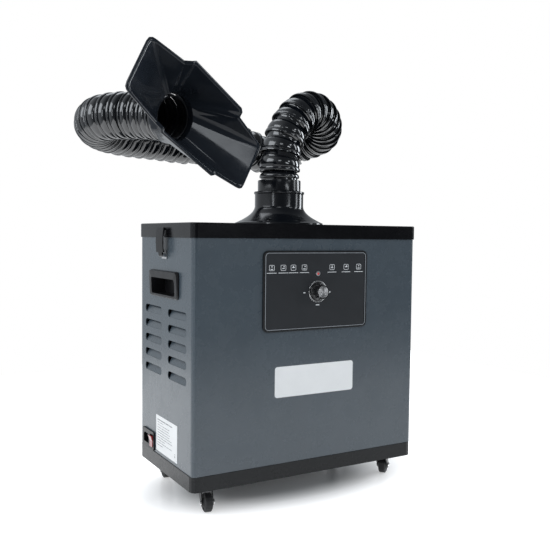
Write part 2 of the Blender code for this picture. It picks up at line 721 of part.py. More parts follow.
def power_lamp():
    place = FRONT @ Matrix.Translation((KNOB_X, KNOB_Z + LAMP_RISE, 0))
    seat = PANEL_FACE + FIT
    rise = LAMP_RADIUS - LAMP_STEM
    inner = LENS_RADIUS + FIT
    bezel = turned([(inner, -POT_DEPTH / 2), (LAMP_STEM, -POT_DEPTH / 2), (LAMP_STEM, seat),
                    (LAMP_RADIUS, seat), (LAMP_RADIUS - rise / 3, seat + rise), (inner, seat + rise)],
                   SMALL_SIDES)
    piece("lamp_bezel", bezel, "steel", place)
    crown = seat + rise
    shoulder, summit = (crown + rise * share for share in LENS_RISE_SHARES)
    lens = turned([(0, -POT_DEPTH / 2), (LENS_RADIUS, -POT_DEPTH / 2), (LENS_RADIUS, crown),
                   (LENS_RADIUS * LENS_SHOULDER_SHARE, shoulder), (0, summit)], PIN_SIDES)
    piece("lamp_lens", lens, "red_plastic", place)


# End wall fittings

def handle_front(loop, opening):
    """Lifts the front of the handle towards its top edge, where the grip bar is."""
    flatter = 1 - HANDLE_WALL / HANDLE_PROUD
    for point in loop:
        rise = max(0, point.y - HANDLE_Z) / (HANDLE_HEIGHT / 2)
        point.z = HANDLE_PROUD + HANDLE_BULGE * (rise if opening else rise ** 2 * flatter)
    return loop


def carry_handle(name, side):
    centre = (0, HANDLE_Z)
    lowered = (0, HANDLE_Z - HANDLE_OPENING_DROP)
    cup_width = HANDLE_OPENING_WIDTH + 2 * HANDLE_WALL
    cup_height = HANDLE_OPENING_HEIGHT + 2 * HANDLE_WALL
    cup_corner = HANDLE_CORNER - FIT
    bevel = HANDLE_WALL
    handle = skin([
        rounded_loop(cup_width, cup_height, cup_corner, -HANDLE_CUP_DEPTH - HANDLE_WALL, lowered),
        rounded_loop(cup_width, cup_height, cup_corner, FIT, lowered),
        rounded_loop(HANDLE_WIDTH, HANDLE_HEIGHT, HANDLE_CORNER, FIT, centre),
        rounded_loop(HANDLE_WIDTH, HANDLE_HEIGHT, HANDLE_CORNER, HANDLE_PROUD / 2, centre),
        handle_front(rounded_loop(HANDLE_WIDTH - 2 * bevel, HANDLE_HEIGHT - 2 * bevel,
                                  HANDLE_CORNER - bevel / 2, 0, centre), False),
        handle_front(rounded_loop(HANDLE_OPENING_WIDTH, HANDLE_OPENING_HEIGHT,
                                  HANDLE_CORNER - HANDLE_WALL, 0, lowered), True),
        rounded_loop(HANDLE_OPENING_WIDTH, HANDLE_OPENING_HEIGHT, HANDLE_CORNER - HANDLE_WALL,
                     -HANDLE_CUP_DEPTH, lowered)])
    piece(name, handle, "black_plastic", end_wall(side))


def latch_strap_mesh():
    """Bowed strap with a hook at its top and an eye at its foot, about the pivot at the origin."""
    wall = LATCH_STRAP
    front = LATCH_PROUD - LATCH_PIVOT_OUT
    hook_tip = LID_SHEET + 2 * FIT + LATCH_PLATE / 2 - LATCH_PIVOT_OUT
    hook_low = keeper_top() + FIT - LATCH_PIVOT_Z
    top = hook_low + 2 * wall
    foot = STRAP_FOOT_SHARE * LATCH_EYE_RADIUS
    bow_low, bow_high = (LATCH_HEIGHT * share for share in STRAP_FRONT_SHARES)
    back_high, back_low = (LATCH_HEIGHT * share for share in STRAP_BACK_SHARES)
    outline = ((front - 2 * wall, foot), (front - wall / 2, foot), (front, bow_low),
               (front - wall / 4, bow_high), (front - wall, top), (front - 2 * wall, top + wall / 3),
               (hook_tip + wall / 3, hook_low + wall), (hook_tip, hook_low), (front - 2 * wall, hook_low),
               (front - wall, back_high), (front - wall, back_low))
    strap = placed(prism(outline, -LATCH_WIDTH / 2, LATCH_WIDTH / 2), EDGEWISE)
    eye = [(LATCH_EYE_RADIUS * math.cos(math.radians(angle)),
            LATCH_EYE_RADIUS * math.sin(math.radians(angle))) for angle in range(90, 361, 30)]
    tongue_outline = eye + [(front - share * wall, foot + wall) for share in TONGUE_SHARES]
    tongue = placed(prism(tongue_outline, -LATCH_TONGUE_WIDTH / 2, LATCH_TONGUE_WIDTH / 2), EDGEWISE)
    bore_radius = LATCH_PIN_RADIUS + FIT
    bore = turned([(0, -LATCH_WIDTH), (bore_radius, -LATCH_WIDTH), (bore_radius, LATCH_WIDTH),
                   (0, LATCH_WIDTH)], PIN_SIDES)
    return cut(joined(strap, tongue), placed(bore, EDGEWISE))


def keeper_top():
    """Height of the keeper's lip on the lid."""
    return CABINET_HEIGHT - LID_SKIRT / 2


def latch_base_mesh():
    """Plate, two ears and the pin that the strap turns on, about the pivot at the origin."""
    back = FIT - LATCH_PIVOT_OUT
    half = LATCH_BASE_WIDTH / 2
    drop = 2 * LATCH_EYE_RADIUS
    plate = block((-half, -drop, back), (half, 2 * LATCH_EYE_RADIUS, back + LATCH_PLATE))
    reach, rise = (LATCH_EYE_RADIUS * share for share in EAR_SHARES)
    ear_outline = [(back + LATCH_PLATE / 2, -rise)]
    for angle in range(-90, 91, 30):
        ear_outline.append((reach * math.cos(math.radians(angle)), rise * math.sin(math.radians(angle))))
    ear_outline.append((back + LATCH_PLATE / 2, rise))
    inner = LATCH_TONGUE_WIDTH / 2 + FIT
    outer = half - LATCH_PLATE / 3
    ears = [placed(prism(ear_outline, inner, outer), EDGEWISE),
            placed(prism(ear_outline, -outer, -inner), EDGEWISE)]
    pin = turned([(0, -half), (LATCH_PIN_RADIUS, -half), (LATCH_PIN_RADIUS, half), (0, half)], PIN_SIDES)
    return joined(plate, *ears, placed(pin, EDGEWISE))


def latch_keeper_mesh():
    """Angle on the lid's skirt whose lip the strap hooks over, about the pivot at the origin."""
    back = LID_SHEET + 2 * FIT - LATCH_PIVOT_OUT
    top = keeper_top() - LATCH_PIVOT_Z
    outline = ((back, top - KEEPER_DROP + LATCH_PLATE), (back + LATCH_PLATE, top - KEEPER_DROP + LATCH_PLATE),
               (back + LATCH_PLATE, top - LATCH_PLATE), (back + KEEPER_REACH, top - LATCH_PLATE),
               (back + KEEPER_REACH, top), (back, top))
    return placed(prism(outline, -KEEPER_WIDTH / 2, KEEPER_WIDTH / 2), EDGEWISE)


def lid_latch(name, side):
    place = end_wall(side) @ Matrix.Translation((0, LATCH_PIVOT_Z, LATCH_PIVOT_OUT))
    piece(name + "_base", latch_base_mesh(), "steel", place)
    piece(name + "_keeper", latch_keeper_mesh(), "steel", place)
    turn = pivot(name + "_axis", place @ EDGEWISE)
    piece(name + "_strap", latch_strap_mesh(), "black_plastic", place, turn)


def mains_inlet():
    wall = end_wall(-1)
    middle = (-INLET_Y, INLET_Z)
    socket = (-INLET_Y - SOCKET_SHIFT, INLET_Z)
    rocker = (-INLET_Y + ROCKER_SHIFT, INLET_Z)
    front = FIT + INLET_FLANGE
    flange = slab(INLET_WIDTH, INLET_HEIGHT, INLET_CORNER, FIT, front, middle)
    body = slab(INLET_BODY_WIDTH, INLET_BODY_HEIGHT, INLET_CORNER - FIT, -INLET_BODY_DEPTH,
                FIT + INLET_FLANGE / 2, middle)
    half_width = SOCKET_WIDTH / 2
    half_height = SOCKET_HEIGHT / 2
    chamfer = SOCKET_HEIGHT / 4
    socket_outline = [(socket[0] + x, socket[1] + y) for x, y in (
        (-half_width, -half_height), (half_width, -half_height), (half_width, half_height - chamfer),
        (half_width - chamfer, half_height), (chamfer - half_width, half_height),
        (-half_width, half_height - chamfer))]
    socket_hole = prism(socket_outline, front - SOCKET_DEPTH, front + OVERRUN)
    pocket_half_width = ROCKER_WIDTH / 2 + ROCKER_GAP
    pocket_half_height = ROCKER_HEIGHT / 2 + 2 * ROCKER_GAP
    pocket = block((rocker[0] - pocket_half_width, rocker[1] - pocket_half_height, front - ROCKER_POCKET),
                   (rocker[0] + pocket_half_width, rocker[1] + pocket_half_height, front + OVERRUN))
    root = front - SOCKET_DEPTH - PIN_WIDTH
    pins = []
    for step in (-1, 0, 1):
        x = socket[0] + step * PIN_PITCH
        y = socket[1] + (chamfer / 2 if step == 0 else -chamfer / 2)
        pins.append(block((x - PIN_WIDTH / 2, y - PIN_HEIGHT / 2, root),
                          (x + PIN_WIDTH / 2, y + PIN_HEIGHT / 2, root + PIN_LENGTH)))
    housing = cut(joined(flange, body), socket_hole, pocket)
    piece("mains_inlet", joined(housing, *pins), "black_plastic", wall)

    half = ROCKER_HEIGHT / 2
    floor = -ROCKER_DEPTH
    heel = half * ROCKER_HEEL_SHARE
    outline = ((floor, -heel), (ROCKER_PROUD - ROCKER_DEPTH / 3, -half), (ROCKER_PROUD, -half),
               (ROCKER_PROUD / 3, 0), (ROCKER_PROUD, half), (ROCKER_PROUD - ROCKER_DEPTH / 3, half),
               (floor, heel))
    outline = [(x + ROCKER_PIVOT_DEPTH, y) for x, y in outline]
    shape = placed(prism(outline, -ROCKER_WIDTH / 2, ROCKER_WIDTH / 2), EDGEWISE)
    place = wall @ Matrix.Translation((rocker[0], rocker[1], front - ROCKER_PIVOT_DEPTH))
    place = place @ Matrix.Rotation(math.radians(ROCKER_TILT), 4, "X")
    turn = pivot("power_rocker_axis", place @ EDGEWISE)
    piece("power_rocker", shape, "red_plastic", place, turn)


# Casters

def fork_mesh():
    """Swivel fork about the swivel axis, with its trail along +Y."""
    crown_top = -CASTER_PLATE - KINGPIN_HEIGHT - 2 * FIT
    crown_low = crown_top - CROWN_THICKNESS
    crown = turned([(0, crown_low), (CROWN_RADIUS, crown_low), (CROWN_RADIUS, crown_top), (0, crown_top)],
                   SMALL_SIDES)
    axle_z = WHEEL_RADIUS - CASTER_HEIGHT
    eye = AXLE_HEAD_RADIUS + FORK_GAP
    inner = WHEEL_WIDTH / 2 + FORK_GAP
    top = crown_top - CROWN_THICKNESS / 4
    near, far = (CROWN_RADIUS * share for share in FORK_SHARES)
    outline = [(-near, top), (-near, crown_low)]
    for angle in range(-150, 11, 40):
        outline.append((CASTER_TRAIL + eye * math.cos(math.radians(angle)),
                        axle_z + eye * math.sin(math.radians(angle))))
    outline += [(far, crown_low), (near, top)]
    legs = []
    for side in (-1, 1):
        ends = sorted((side * inner, side * (inner + FORK_SHEET)))
        leg = prism(outline, *ends)
        turn = Matrix(((0, 0, 1, 0), (1, 0, 0, 0), (0, 1, 0, 0), (0, 0, 0, 1)))
        legs.append(placed(leg, turn))
    bore = AXLE_RADIUS + RUNNING_GAP / 2
    hole = turned([(0, -CROWN_RADIUS), (bore, -CROWN_RADIUS), (bore, CROWN_RADIUS), (0, CROWN_RADIUS)],
                  PIN_SIDES)
    axle_place = Matrix.Translation((0, CASTER_TRAIL, axle_z)) @ Matrix.Rotation(math.radians(90), 4, "Y")
    hole = placed(hole, axle_place)
    return cut(joined(crown, *legs), hole)


def wheel_mesh():
    half = WHEEL_WIDTH / 2
    bore = AXLE_RADIUS + RUNNING_GAP
    hub, shoulder, rim = (WHEEL_RADIUS * share for share in WHEEL_SHARES)
    dish = half - shoulder
    return turned([(bore, -half), (hub, -half), (hub + shoulder, -dish), (rim - shoulder, -dish),
                   (rim, -half), (WHEEL_RADIUS, -dish), (WHEEL_RADIUS, dish), (rim, half),
                   (rim - shoulder, dish), (hub + shoulder, dish), (hub, half), (bore, half)], SMALL_SIDES)


def axle_mesh():
    inner = WHEEL_WIDTH / 2 + FORK_GAP + FORK_SHEET + FIT
    return turned([(0, -inner - AXLE_HEAD), (AXLE_HEAD_RADIUS, -inner - AXLE_HEAD),
                   (AXLE_HEAD_RADIUS, -inner), (AXLE_RADIUS, -inner), (AXLE_RADIUS, inner),
                   (AXLE_HEAD_RADIUS, inner), (AXLE_HEAD_RADIUS, inner + AXLE_HEAD), (0, inner + AXLE_HEAD)], PIN_SIDES)


def caster_plate_mesh():
    plate = slab(CASTER_PLATE_LENGTH, CASTER_PLATE_WIDTH, LIP_CORNER, -FIT - CASTER_PLATE, -FIT)
    low = -FIT - CASTER_PLATE - KINGPIN_HEIGHT
    kingpin = turned([(0, low), (KINGPIN_RADIUS, low), (KINGPIN_RADIUS, -FIT - CASTER_PLATE / 2),
                      (0, -FIT - CASTER_PLATE / 2)], PIN_SIDES)
    return joined(plate, kingpin)


def casters():
    plate, fork, wheel, axle = caster_plate_mesh(), fork_mesh(), wheel_mesh(), axle_mesh()
    for name, side_x, side_y, angle in CASTERS:
        place = Matrix.Translation((side_x * (LID_WIDTH / 2 - CASTER_INSET_X),
                                    side_y * (LID_DEPTH / 2 - CASTER_INSET_Y), 0))
        piece("caster_plate_" + name, plate, "steel", place)
        swivel = place @ Matrix.Rotation(math.radians(angle), 4, "Z")
        turn = pivot("caster_swivel_" + name, swivel)
        piece("caster_fork_" + name, fork, "black_paint", swivel, turn)
        axis = Matrix.Translation((0, CASTER_TRAIL, WHEEL_RADIUS - CASTER_HEIGHT))
        axis = swivel @ axis @ Matrix.Rotation(math.radians(90), 4, "Y")
        piece("caster_axle_" + name, axle, "steel", axis, turn)
        spin = pivot("caster_spin_" + name, axis, turn)
        piece("caster_wheel_" + name, wheel, "rubber", axis, spin)


# Filters and blower

def filter_chamber():
    middle = (0, CHAMBER_SHIFT_Y)
    flange_width = BODY_WIDTH - 2 * CHAMBER_FLANGE_MARGIN
    flange_depth = BODY_DEPTH - 2 * CHAMBER_FLANGE_MARGIN
    inner_width = CHAMBER_WIDTH - 2 * SHEET
    inner_depth = CHAMBER_DEPTH - 2 * SHEET
    box = skin([rounded_loop(CHAMBER_WIDTH, CHAMBER_DEPTH, CHAMBER_CORNER, CHAMBER_FLOOR, middle),
                rounded_loop(CHAMBER_WIDTH, CHAMBER_DEPTH, CHAMBER_CORNER, CHAMBER_RIM, middle),
                rounded_loop(flange_width, flange_depth, CHAMBER_CORNER, CHAMBER_RIM),
                rounded_loop(flange_width, flange_depth, CHAMBER_CORNER, CHAMBER_TOP),
                rounded_loop(inner_width, inner_depth, CHAMBER_CORNER - SHEET, CHAMBER_TOP, middle),
                rounded_loop(inner_width, inner_depth, CHAMBER_CORNER - SHEET, CHAMBER_FLOOR + SHEET,
                             middle)])
    hole = turned([(0, CHAMBER_FLOOR - OVERRUN), (THROAT_RADIUS, CHAMBER_FLOOR - OVERRUN),
                   (THROAT_RADIUS, CHAMBER_FLOOR + OVERRUN), (0, CHAMBER_FLOOR + OVERRUN)], ROUND_SIDES)
    piece("filter_chamber", cut(box, hole), "steel")

    width = inner_width - 2 * FILTER_GAP
    depth = inner_depth - 2 * FILTER_GAP
    base = CHAMBER_FLOOR + SHEET + FIT
    top = base + FILTER_HEIGHT
    corner = CHAMBER_CORNER - SHEET
    core_width = width - 2 * FILTER_WALL
    core_depth = depth - 2 * FILTER_WALL
    frame = skin([rounded_loop(width, depth, corner, base, middle),
                  rounded_loop(width, depth, corner, top, middle),
                  rounded_loop(core_width, core_depth, LIP_CORNER, top, middle),
                  rounded_loop(core_width, core_depth, LIP_CORNER, base, middle)], closed=True)
    piece("filter_frame", frame, "panel_plastic")

    upper = []
    lower = []
    half = core_width / 2 - LIP_CORNER
    for index in range(2 * PLEAT_COUNT + 1):
        x = -half + 2 * half * index / (2 * PLEAT_COUNT)
        height = top - FILTER_WALL / 2 if index % 2 else base + FILTER_WALL
        upper.append((x, height))
        lower.append((x, height - PLEAT_THICKNESS))
    pleats = prism(upper + lower[::-1], -core_depth / 2 + FIT, core_depth / 2 - FIT)
    stand = Matrix.Translation((0, CHAMBER_SHIFT_Y, 0)) @ Matrix.Rotation(math.radians(90), 4, "X")
    piece("filter_pleats", pleats, "filter_fibre", stand)

    pad = slab(width, depth, corner, top + FIT, top + FIT + PREFILTER_THICKNESS, middle)
    piece("prefilter_pad", pad, "filter_fibre")


def inlet_ring():
    top = CHAMBER_FLOOR - FIT
    low = top - THROAT_DROP
    bend = THROAT_DROP / 3
    ring = turned([(INLET_RING_RADIUS, top), (INLET_RING_RADIUS, top - RING_SHEET),
                   (THROAT_RADIUS + bend / 2, top - RING_SHEET), (THROAT_RADIUS, top - bend),
                   (THROAT_RADIUS, low), (THROAT_RADIUS - RING_SHEET, low),
                   (THROAT_RADIUS - RING_SHEET, top - bend), (THROAT_RADIUS, top)], ROUND_SIDES)
    piece("blower_inlet_ring", ring, "steel")


def blade_outline(steps=4):
    """Outline of a backward-curved blade from near the hub to the rim, in plan."""
    lead = IMPELLER_EYE * BLADE_LEAD_SHARE
    tail = IMPELLER_RADIUS - BLADE_SHEET
    outer = []
    inner = []
    for step in range(steps + 1):
        share = step / steps
        radius = lead + (tail - lead) * share
        angle = -math.radians(BLADE_SWEEP) * share
        lean = angle + math.radians(BLADE_LEAN)
        point = Vector((radius * math.cos(angle), radius * math.sin(angle)))
        normal = Vector((-math.sin(lean), math.cos(lean))) * BLADE_SHEET / 2
        outer.append(tuple(point + normal))
        inner.append(tuple(point - normal))
    return outer + inner[::-1]


def blower():
    inlet_ring()
    spin = pivot("impeller_axis", Matrix.Translation((0, 0, IMPELLER_TOP)))
    base = -IMPELLER_HEIGHT
    sheet = IMPELLER_SHEET
    bore = MOTOR_SHAFT_RADIUS + RUNNING_GAP
    hub_foot = HUB_RADIUS * HUB_SHARES[0]
    hub_top = base + IMPELLER_HEIGHT * HUB_SHARES[1]
    back = turned([(bore, base), (IMPELLER_RADIUS, base), (IMPELLER_RADIUS, base + sheet),
                   (hub_foot, base + sheet), (HUB_RADIUS, hub_top), (bore, hub_top)], ROUND_SIDES)
    drop = IMPELLER_HEIGHT * SHROUD_DROP_SHARE
    knee, heel, toe = (-drop * share for share in SHROUD_SHARES)
    shroud = turned([(IMPELLER_EYE, 0), (IMPELLER_EYE + sheet, 0), (IMPELLER_EYE + 2 * sheet, knee),
                     (IMPELLER_RADIUS, -drop), (IMPELLER_RADIUS, -drop - sheet),
                     (IMPELLER_EYE + sheet, heel), (IMPELLER_EYE, toe)], ROUND_SIDES)
    blades = []
    for index in range(BLADE_COUNT):
        blade = prism(blade_outline(), base + sheet / 2, -drop - sheet / 2)
        blades.append(placed(blade, Matrix.Rotation(math.tau * index / BLADE_COUNT, 4, "Z")))
    wheel = joined(back, gathered(blades), shroud)
    piece("impeller", wheel, "black_plastic", WORLD_PLACES[spin.name].copy(), spin)

    motor_top = IMPELLER_TOP - IMPELLER_HEIGHT - RING_SHEET
    motor_low = motor_top - MOTOR_HEIGHT
    rounding = MOTOR_HEIGHT / 8
    shaft_top = motor_top + IMPELLER_HEIGHT / 2
    motor = turned([(0, motor_low), (MOTOR_RADIUS, motor_low), (MOTOR_RADIUS, motor_top - rounding),
                    (MOTOR_RADIUS - rounding, motor_top), (MOTOR_SHAFT_RADIUS, motor_top),
                    (MOTOR_SHAFT_RADIUS, shaft_top), (0, shaft_top)], ROUND_SIDES)
    piece("blower_motor", motor, "dark_grey_paint")

    plate_top = motor_low - FIT
    foot_top = CHAMBER_FLOOR - FIT
    reach = BRACKET_REACH
    sheet = BRACKET_SHEET
    outline = ((-reach, plate_top - sheet), (reach, plate_top - sheet), (reach, foot_top - sheet),
               (reach + BRACKET_FOOT, foot_top - sheet), (reach + BRACKET_FOOT, foot_top),
               (reach - sheet, foot_top), (reach - sheet, plate_top), (sheet - reach, plate_top),
               (sheet - reach, foot_top), (-reach - BRACKET_FOOT, foot_top),
               (-reach - BRACKET_FOOT, foot_top - sheet), (-reach, foot_top - sheet))
    bracket = placed(prism(outline, -BRACKET_WIDTH / 2, BRACKET_WIDTH / 2),
                     Matrix.Rotation(math.radians(90), 4, "X"))
    piece("motor_bracket", bracket, "steel")


def control_board():
    """Circuit board with its parts, on four posts swaged into its corners."""
    base = SHEET + FIT
    low = base + STANDOFF_HEIGHT
    posts = []
    for side_x in (-1, 1):
        for side_y in (-1, 1):
            top = low + BOARD_SHEET / 2
            post = turned([(0, base), (STANDOFF_RADIUS, base), (STANDOFF_RADIUS, top), (0, top)], SCREW_SIDES)
            spot = (BOARD_X + side_x * (BOARD_WIDTH / 2 - STANDOFF_INSET),
                    BOARD_Y + side_y * (BOARD_DEPTH / 2 - STANDOFF_INSET), 0)
            posts.append(placed(post, Matrix.Translation(spot)))
    board = block((BOARD_X - BOARD_WIDTH / 2, BOARD_Y - BOARD_DEPTH / 2, low),
                  (BOARD_X + BOARD_WIDTH / 2, BOARD_Y + BOARD_DEPTH / 2, low + BOARD_SHEET))
    parts = []
    for near, far, rise in (TRANSFORMER_SHARES, RELAY_SHARES):
        parts.append(block((BOARD_X + BOARD_WIDTH * near[0], BOARD_Y + BOARD_DEPTH * near[1],
                            low + BOARD_SHEET / 2),
                           (BOARD_X + BOARD_WIDTH * far[0], BOARD_Y + BOARD_DEPTH * far[1],
                            low + BOARD_DEPTH * rise)))
    piece("control_board", joined(board, *parts, *posts), "board_green")


# Duct flange

def screw_places():
    """Middle of each flange screw."""
    return [Matrix.Rotation(math.tau * (index + 0.5) / SCREW_COUNT, 4, "Z") @ Vector((SCREW_CIRCLE, 0, 0))
            for index in range(SCREW_COUNT)]


def screw_holes(low, high):
    """Cutting solids for the flange screws between two heights."""
    radius = SCREW_RADIUS + FIT
    return [placed(turned([(0, low), (radius, low), (radius, high), (0, high)], SCREW_SIDES),
                   Matrix.Translation(place)) for place in screw_places()]


def duct_flange():
    base = CABINET_HEIGHT + FIT
    flare_base = base + FLANGE_EDGE
    flare_top = base + FLARE_HEIGHT
    top = base + FLANGE_HEIGHT
    outer = []
    inner = []
    for step in range(FLARE_STEPS + 1):
        share = step / FLARE_STEPS
        radius = NECK_RADIUS + (FLARE_RADIUS - NECK_RADIUS) * (1 - share) ** 2
        height = flare_base + (flare_top - flare_base) * share
        outer.append((radius, height))
        if 0 < step < FLARE_STEPS and step % 2 == 0:
            inner.append((radius - FLANGE_WALL, height - FLANGE_WALL / 2))
    profile = [(FLANGE_RADIUS, base), (FLANGE_RADIUS, flare_base), *outer,
               (NECK_RADIUS, top - NECK_RIM_HEIGHT), (NECK_RIM_RADIUS, top - NECK_RIM_HEIGHT),
               (NECK_RIM_RADIUS, top),
               (FLANGE_LIP_BORE, top), (FLANGE_LIP_BORE, top - FLANGE_LIP),
               (NECK_RADIUS - FLANGE_WALL, top - FLANGE_LIP), (NECK_RADIUS - FLANGE_WALL, flare_top),
               *inner[::-1], (inner[0][0], base)]
    flange = turned(profile, LARGE_SIDES)
    spot_low = flare_base + FLANGE_EDGE / 4
    spot_top = spot_low + 2 * OVERRUN
    spots = [placed(turned([(0, spot_low), (SCREW_HEAD_RADIUS + FIT, spot_low),
                            (SCREW_HEAD_RADIUS + FIT, spot_top), (0, spot_top)], PIN_SIDES),
                    Matrix.Translation(place)) for place in screw_places()]
    flange = cut(flange, *spots, *screw_holes(base - OVERRUN, spot_low + OVERRUN))
    piece("duct_flange", flange, "gloss_black_plastic")

    screw = turned([(0, -SCREW_REACH), (SCREW_RADIUS, -SCREW_REACH), (SCREW_RADIUS, 0),
                    (SCREW_HEAD_RADIUS, 0),
                    (SCREW_HEAD_RADIUS, SCREW_HEAD / 2), (SCREW_HEAD_RADIUS * SCREW_CROWN_SHARE, SCREW_HEAD),
                    (0, SCREW_HEAD)], SCREW_SIDES)
    for index, place in enumerate(screw_places()):
        piece("flange_screw_%d" % (index + 1), screw, "black_paint",
              Matrix.Translation(place + Vector((0, 0, spot_low + FIT))))


# Suction arm

CUFF_BASE = CABINET_HEIGHT + FLANGE_HEIGHT + 2 * FIT
ARM_BASE = CUFF_BASE + CUFF_HEIGHT + FIT


def hood_frame():
    """Frame of the hood: its origin is the middle of its neck, Z points out of the mouth, X runs along it."""
    heading = math.radians(HOOD_HEADING)
    pitch = math.radians(HOOD_PITCH)
    out = Vector((math.cos(pitch) * math.cos(heading), math.cos(pitch) * math.sin(heading), math.sin(pitch)))
    level = Vector((0, 0, 1)).cross(out).normalized()
    roll = math.radians(HOOD_ROLL)
    along = level * math.cos(roll) + out.cross(level) * math.sin(roll)
    across = out.cross(along)
    origin = Vector(HOOD_PLACE_SHARES) * ARM_REACH + Vector((0, 0, ARM_BASE))
    frame = Matrix((along, across, out)).transposed().to_4x4()
    frame.translation = origin
    return frame


class ArmRoute:
    """The arm's centre line: a cubic B-spline with a frame carried along it without twist."""

    def __init__(self):
        hood = hood_frame()
        out = hood.to_3x3() @ Vector((0, 0, 1))
        end = hood.translation - out * (HOOD_COLLAR - HOOD_LIP - FIT - HOOD_BARB)
        start = Vector((0, 0, ARM_BASE))
        controls = [start + Vector(share) * ARM_REACH for share in ARM_ROUTE_SHARES]
        controls = [2 * start - controls[0], start, *controls]
        controls += [end - out * ARM_END_STEP, end, end + out * ARM_END_STEP]
        self.points = []
        spans = len(controls) - 3
        for index in range(spans * SPAN_SAMPLES + 1):
            span = min(index // SPAN_SAMPLES, spans - 1)
            self.points.append(self.blend(controls[span:span + 4], index / SPAN_SAMPLES - span))
        self.lengths = [0]
        for before, after in zip(self.points, self.points[1:]):
            self.lengths.append(self.lengths[-1] + (after - before).length)
        self.total = self.lengths[-1]
        self.carry_frames(out)

    @staticmethod
    def blend(four, part):
        """Point of a uniform cubic B-spline over four control points."""
        weights = ((1 - part) ** 3, 3 * part ** 3 - 6 * part ** 2 + 4,
                   -3 * part ** 3 + 3 * part ** 2 + 3 * part + 1, part ** 3)
        return sum((point * weight for point, weight in zip(four, weights)), Vector((0, 0, 0))) / 6

    def carry_frames(self, out):
        """Tangents at every sample, and a side direction carried along them."""
        last = len(self.points) - 1
        self.tangents = [(self.points[min(i + 1, last)] - self.points[max(i - 1, 0)]).normalized()
                         for i in range(last + 1)]
        self.tangents[0] = Vector((0, 0, 1))
        self.tangents[-1] = out
        side = Vector((1, 0, 0))
        self.sides = []
        for tangent in self.tangents:
            side = (side - tangent * side.dot(tangent)).normalized()
            self.sides.append(side.copy())

    def frame(self, length):
        """Frame at a length along the arm: Z along the arm, X to the carried side."""
        index = 0
        while index < len(self.lengths) - 2 and self.lengths[index + 1] < length:
            index += 1
        part = (length - self.lengths[index]) / (self.lengths[index + 1] - self.lengths[index])
        tangent = self.tangents[index].lerp(self.tangents[index + 1], part).normalized()
        side = self.sides[index].lerp(self.sides[index + 1], part)
        side = (side - tangent * side.dot(tangent)).normalized()
        frame = Matrix((side, tangent.cross(side), tangent)).transposed().to_4x4()
        frame.translation = self.points[index].lerp(self.points[index + 1], part)
        return frame


def ring_edges(total):
    """Length along the arm of each ring's lower edge, and of the arm's end."""
    edges = [0]
    for count, share in RING_RUN_SHARES:
        start = edges[-1]
        step = (share * total - start) / count
        edges += [start + step * (index + 1) for index in range(count)]
    return edges


def arm_loop(frame, radius, height=0):
    """Points of a circle round the arm, at a height along a frame."""
    return [frame @ point for point in circle_loop(radius, height, ARM_SIDES)]


def ball_radius_at(height, radius):
    """Radius of a ball's section at a height from its middle."""
    return math.sqrt(radius ** 2 - height ** 2)


def arm_section(route, edges, first, last, start_pivot, end_pivot):
    """One run of rings: a skirt or plain end at its start, a ball or plain end at its finish, and a bore."""
    outer = []
    inner = []
    inner_start = edges[first]
    if start_pivot:
        socket = BALL_RADIUS + BALL_CLEARANCE
        socket_end = math.sqrt(socket ** 2 - ARM_BORE ** 2)
        inner_start += SKIRT_REACH + socket_end
        for height in (-SKIRT_REACH, 0, *(share * socket_end for share in SOCKET_ROW_SHARES)):
            inner.append(arm_loop(start_pivot, ball_radius_at(height, socket), height))
        inner.append(arm_loop(start_pivot, ARM_BORE, socket_end))
        outer.append(arm_loop(start_pivot, SKIRT_LIP, -SKIRT_REACH))
        outer.append(arm_loop(start_pivot, RING_WAIST, SKIRT_REACH))
    else:
        inner.append(arm_loop(route.frame(edges[first]), ARM_BORE))
        outer.append(arm_loop(route.frame(edges[first]), RING_NECK))
    for edge in edges[first + 1:last]:
        frame = route.frame(edge)
        outer.append(arm_loop(frame, RING_NECK))
        outer.append(arm_loop(frame, RING_LIP))
        if edge > inner_start:
            inner.append(arm_loop(frame, ARM_BORE))
    if end_pivot:
        row = BALL_ROW_SHARE * BALL_LENGTH
        outer.append(arm_loop(end_pivot, RING_NECK, -BALL_NECK))
        for height in (-BALL_FOOT, -row, 0, row, BALL_LENGTH):
            outer.append(arm_loop(end_pivot, ball_radius_at(height, BALL_RADIUS), height))
        inner.append(arm_loop(end_pivot, ARM_BORE, -BALL_NECK))
        inner.append(arm_loop(end_pivot, ARM_BORE, BALL_LENGTH))
    else:
        end = route.frame(edges[last])
        lip = HOOD_BARB + HOOD_LIP + 3 * FIT
        outer.append(arm_loop(end, RING_NECK, -lip))
        outer.append(arm_loop(end, RING_NECK, -HOOD_BARB))
        outer.append(arm_loop(end, HOOD_BARB_RADIUS, -HOOD_BARB))
        outer.append(arm_loop(end, HOOD_BARB_RADIUS))
        inner.append(arm_loop(end, ARM_BORE))
    return skin(outer + inner[::-1], closed=True)


def bend_axis(frame, level):
    """Frame whose Z is the bend's axis: level across the arm, or upright across it."""
    tangent = frame.to_3x3() @ Vector((0, 0, 1))
    across = tangent.cross(Vector((0, 0, 1))).normalized()
    axis = across if level else across.cross(tangent).normalized()
    other = axis.cross(tangent).normalized()
    turned_frame = Matrix((other, axis.cross(other), axis)).transposed().to_4x4()
    turned_frame.translation = frame.translation
    return turned_frame


def arm_pivots():
    """Frame of each ball joint that the arm bends at, and the frame of its bend's axis."""
    route = ArmRoute()
    edges = ring_edges(route.total)
    balls = [route.frame(edges[ring] + SKIRT_REACH) for ring in PIVOT_RINGS]
    bends = [bend_axis(ball, index in (0, 2, 4)) for index, ball in enumerate(balls)]
    return route, edges, balls, bends


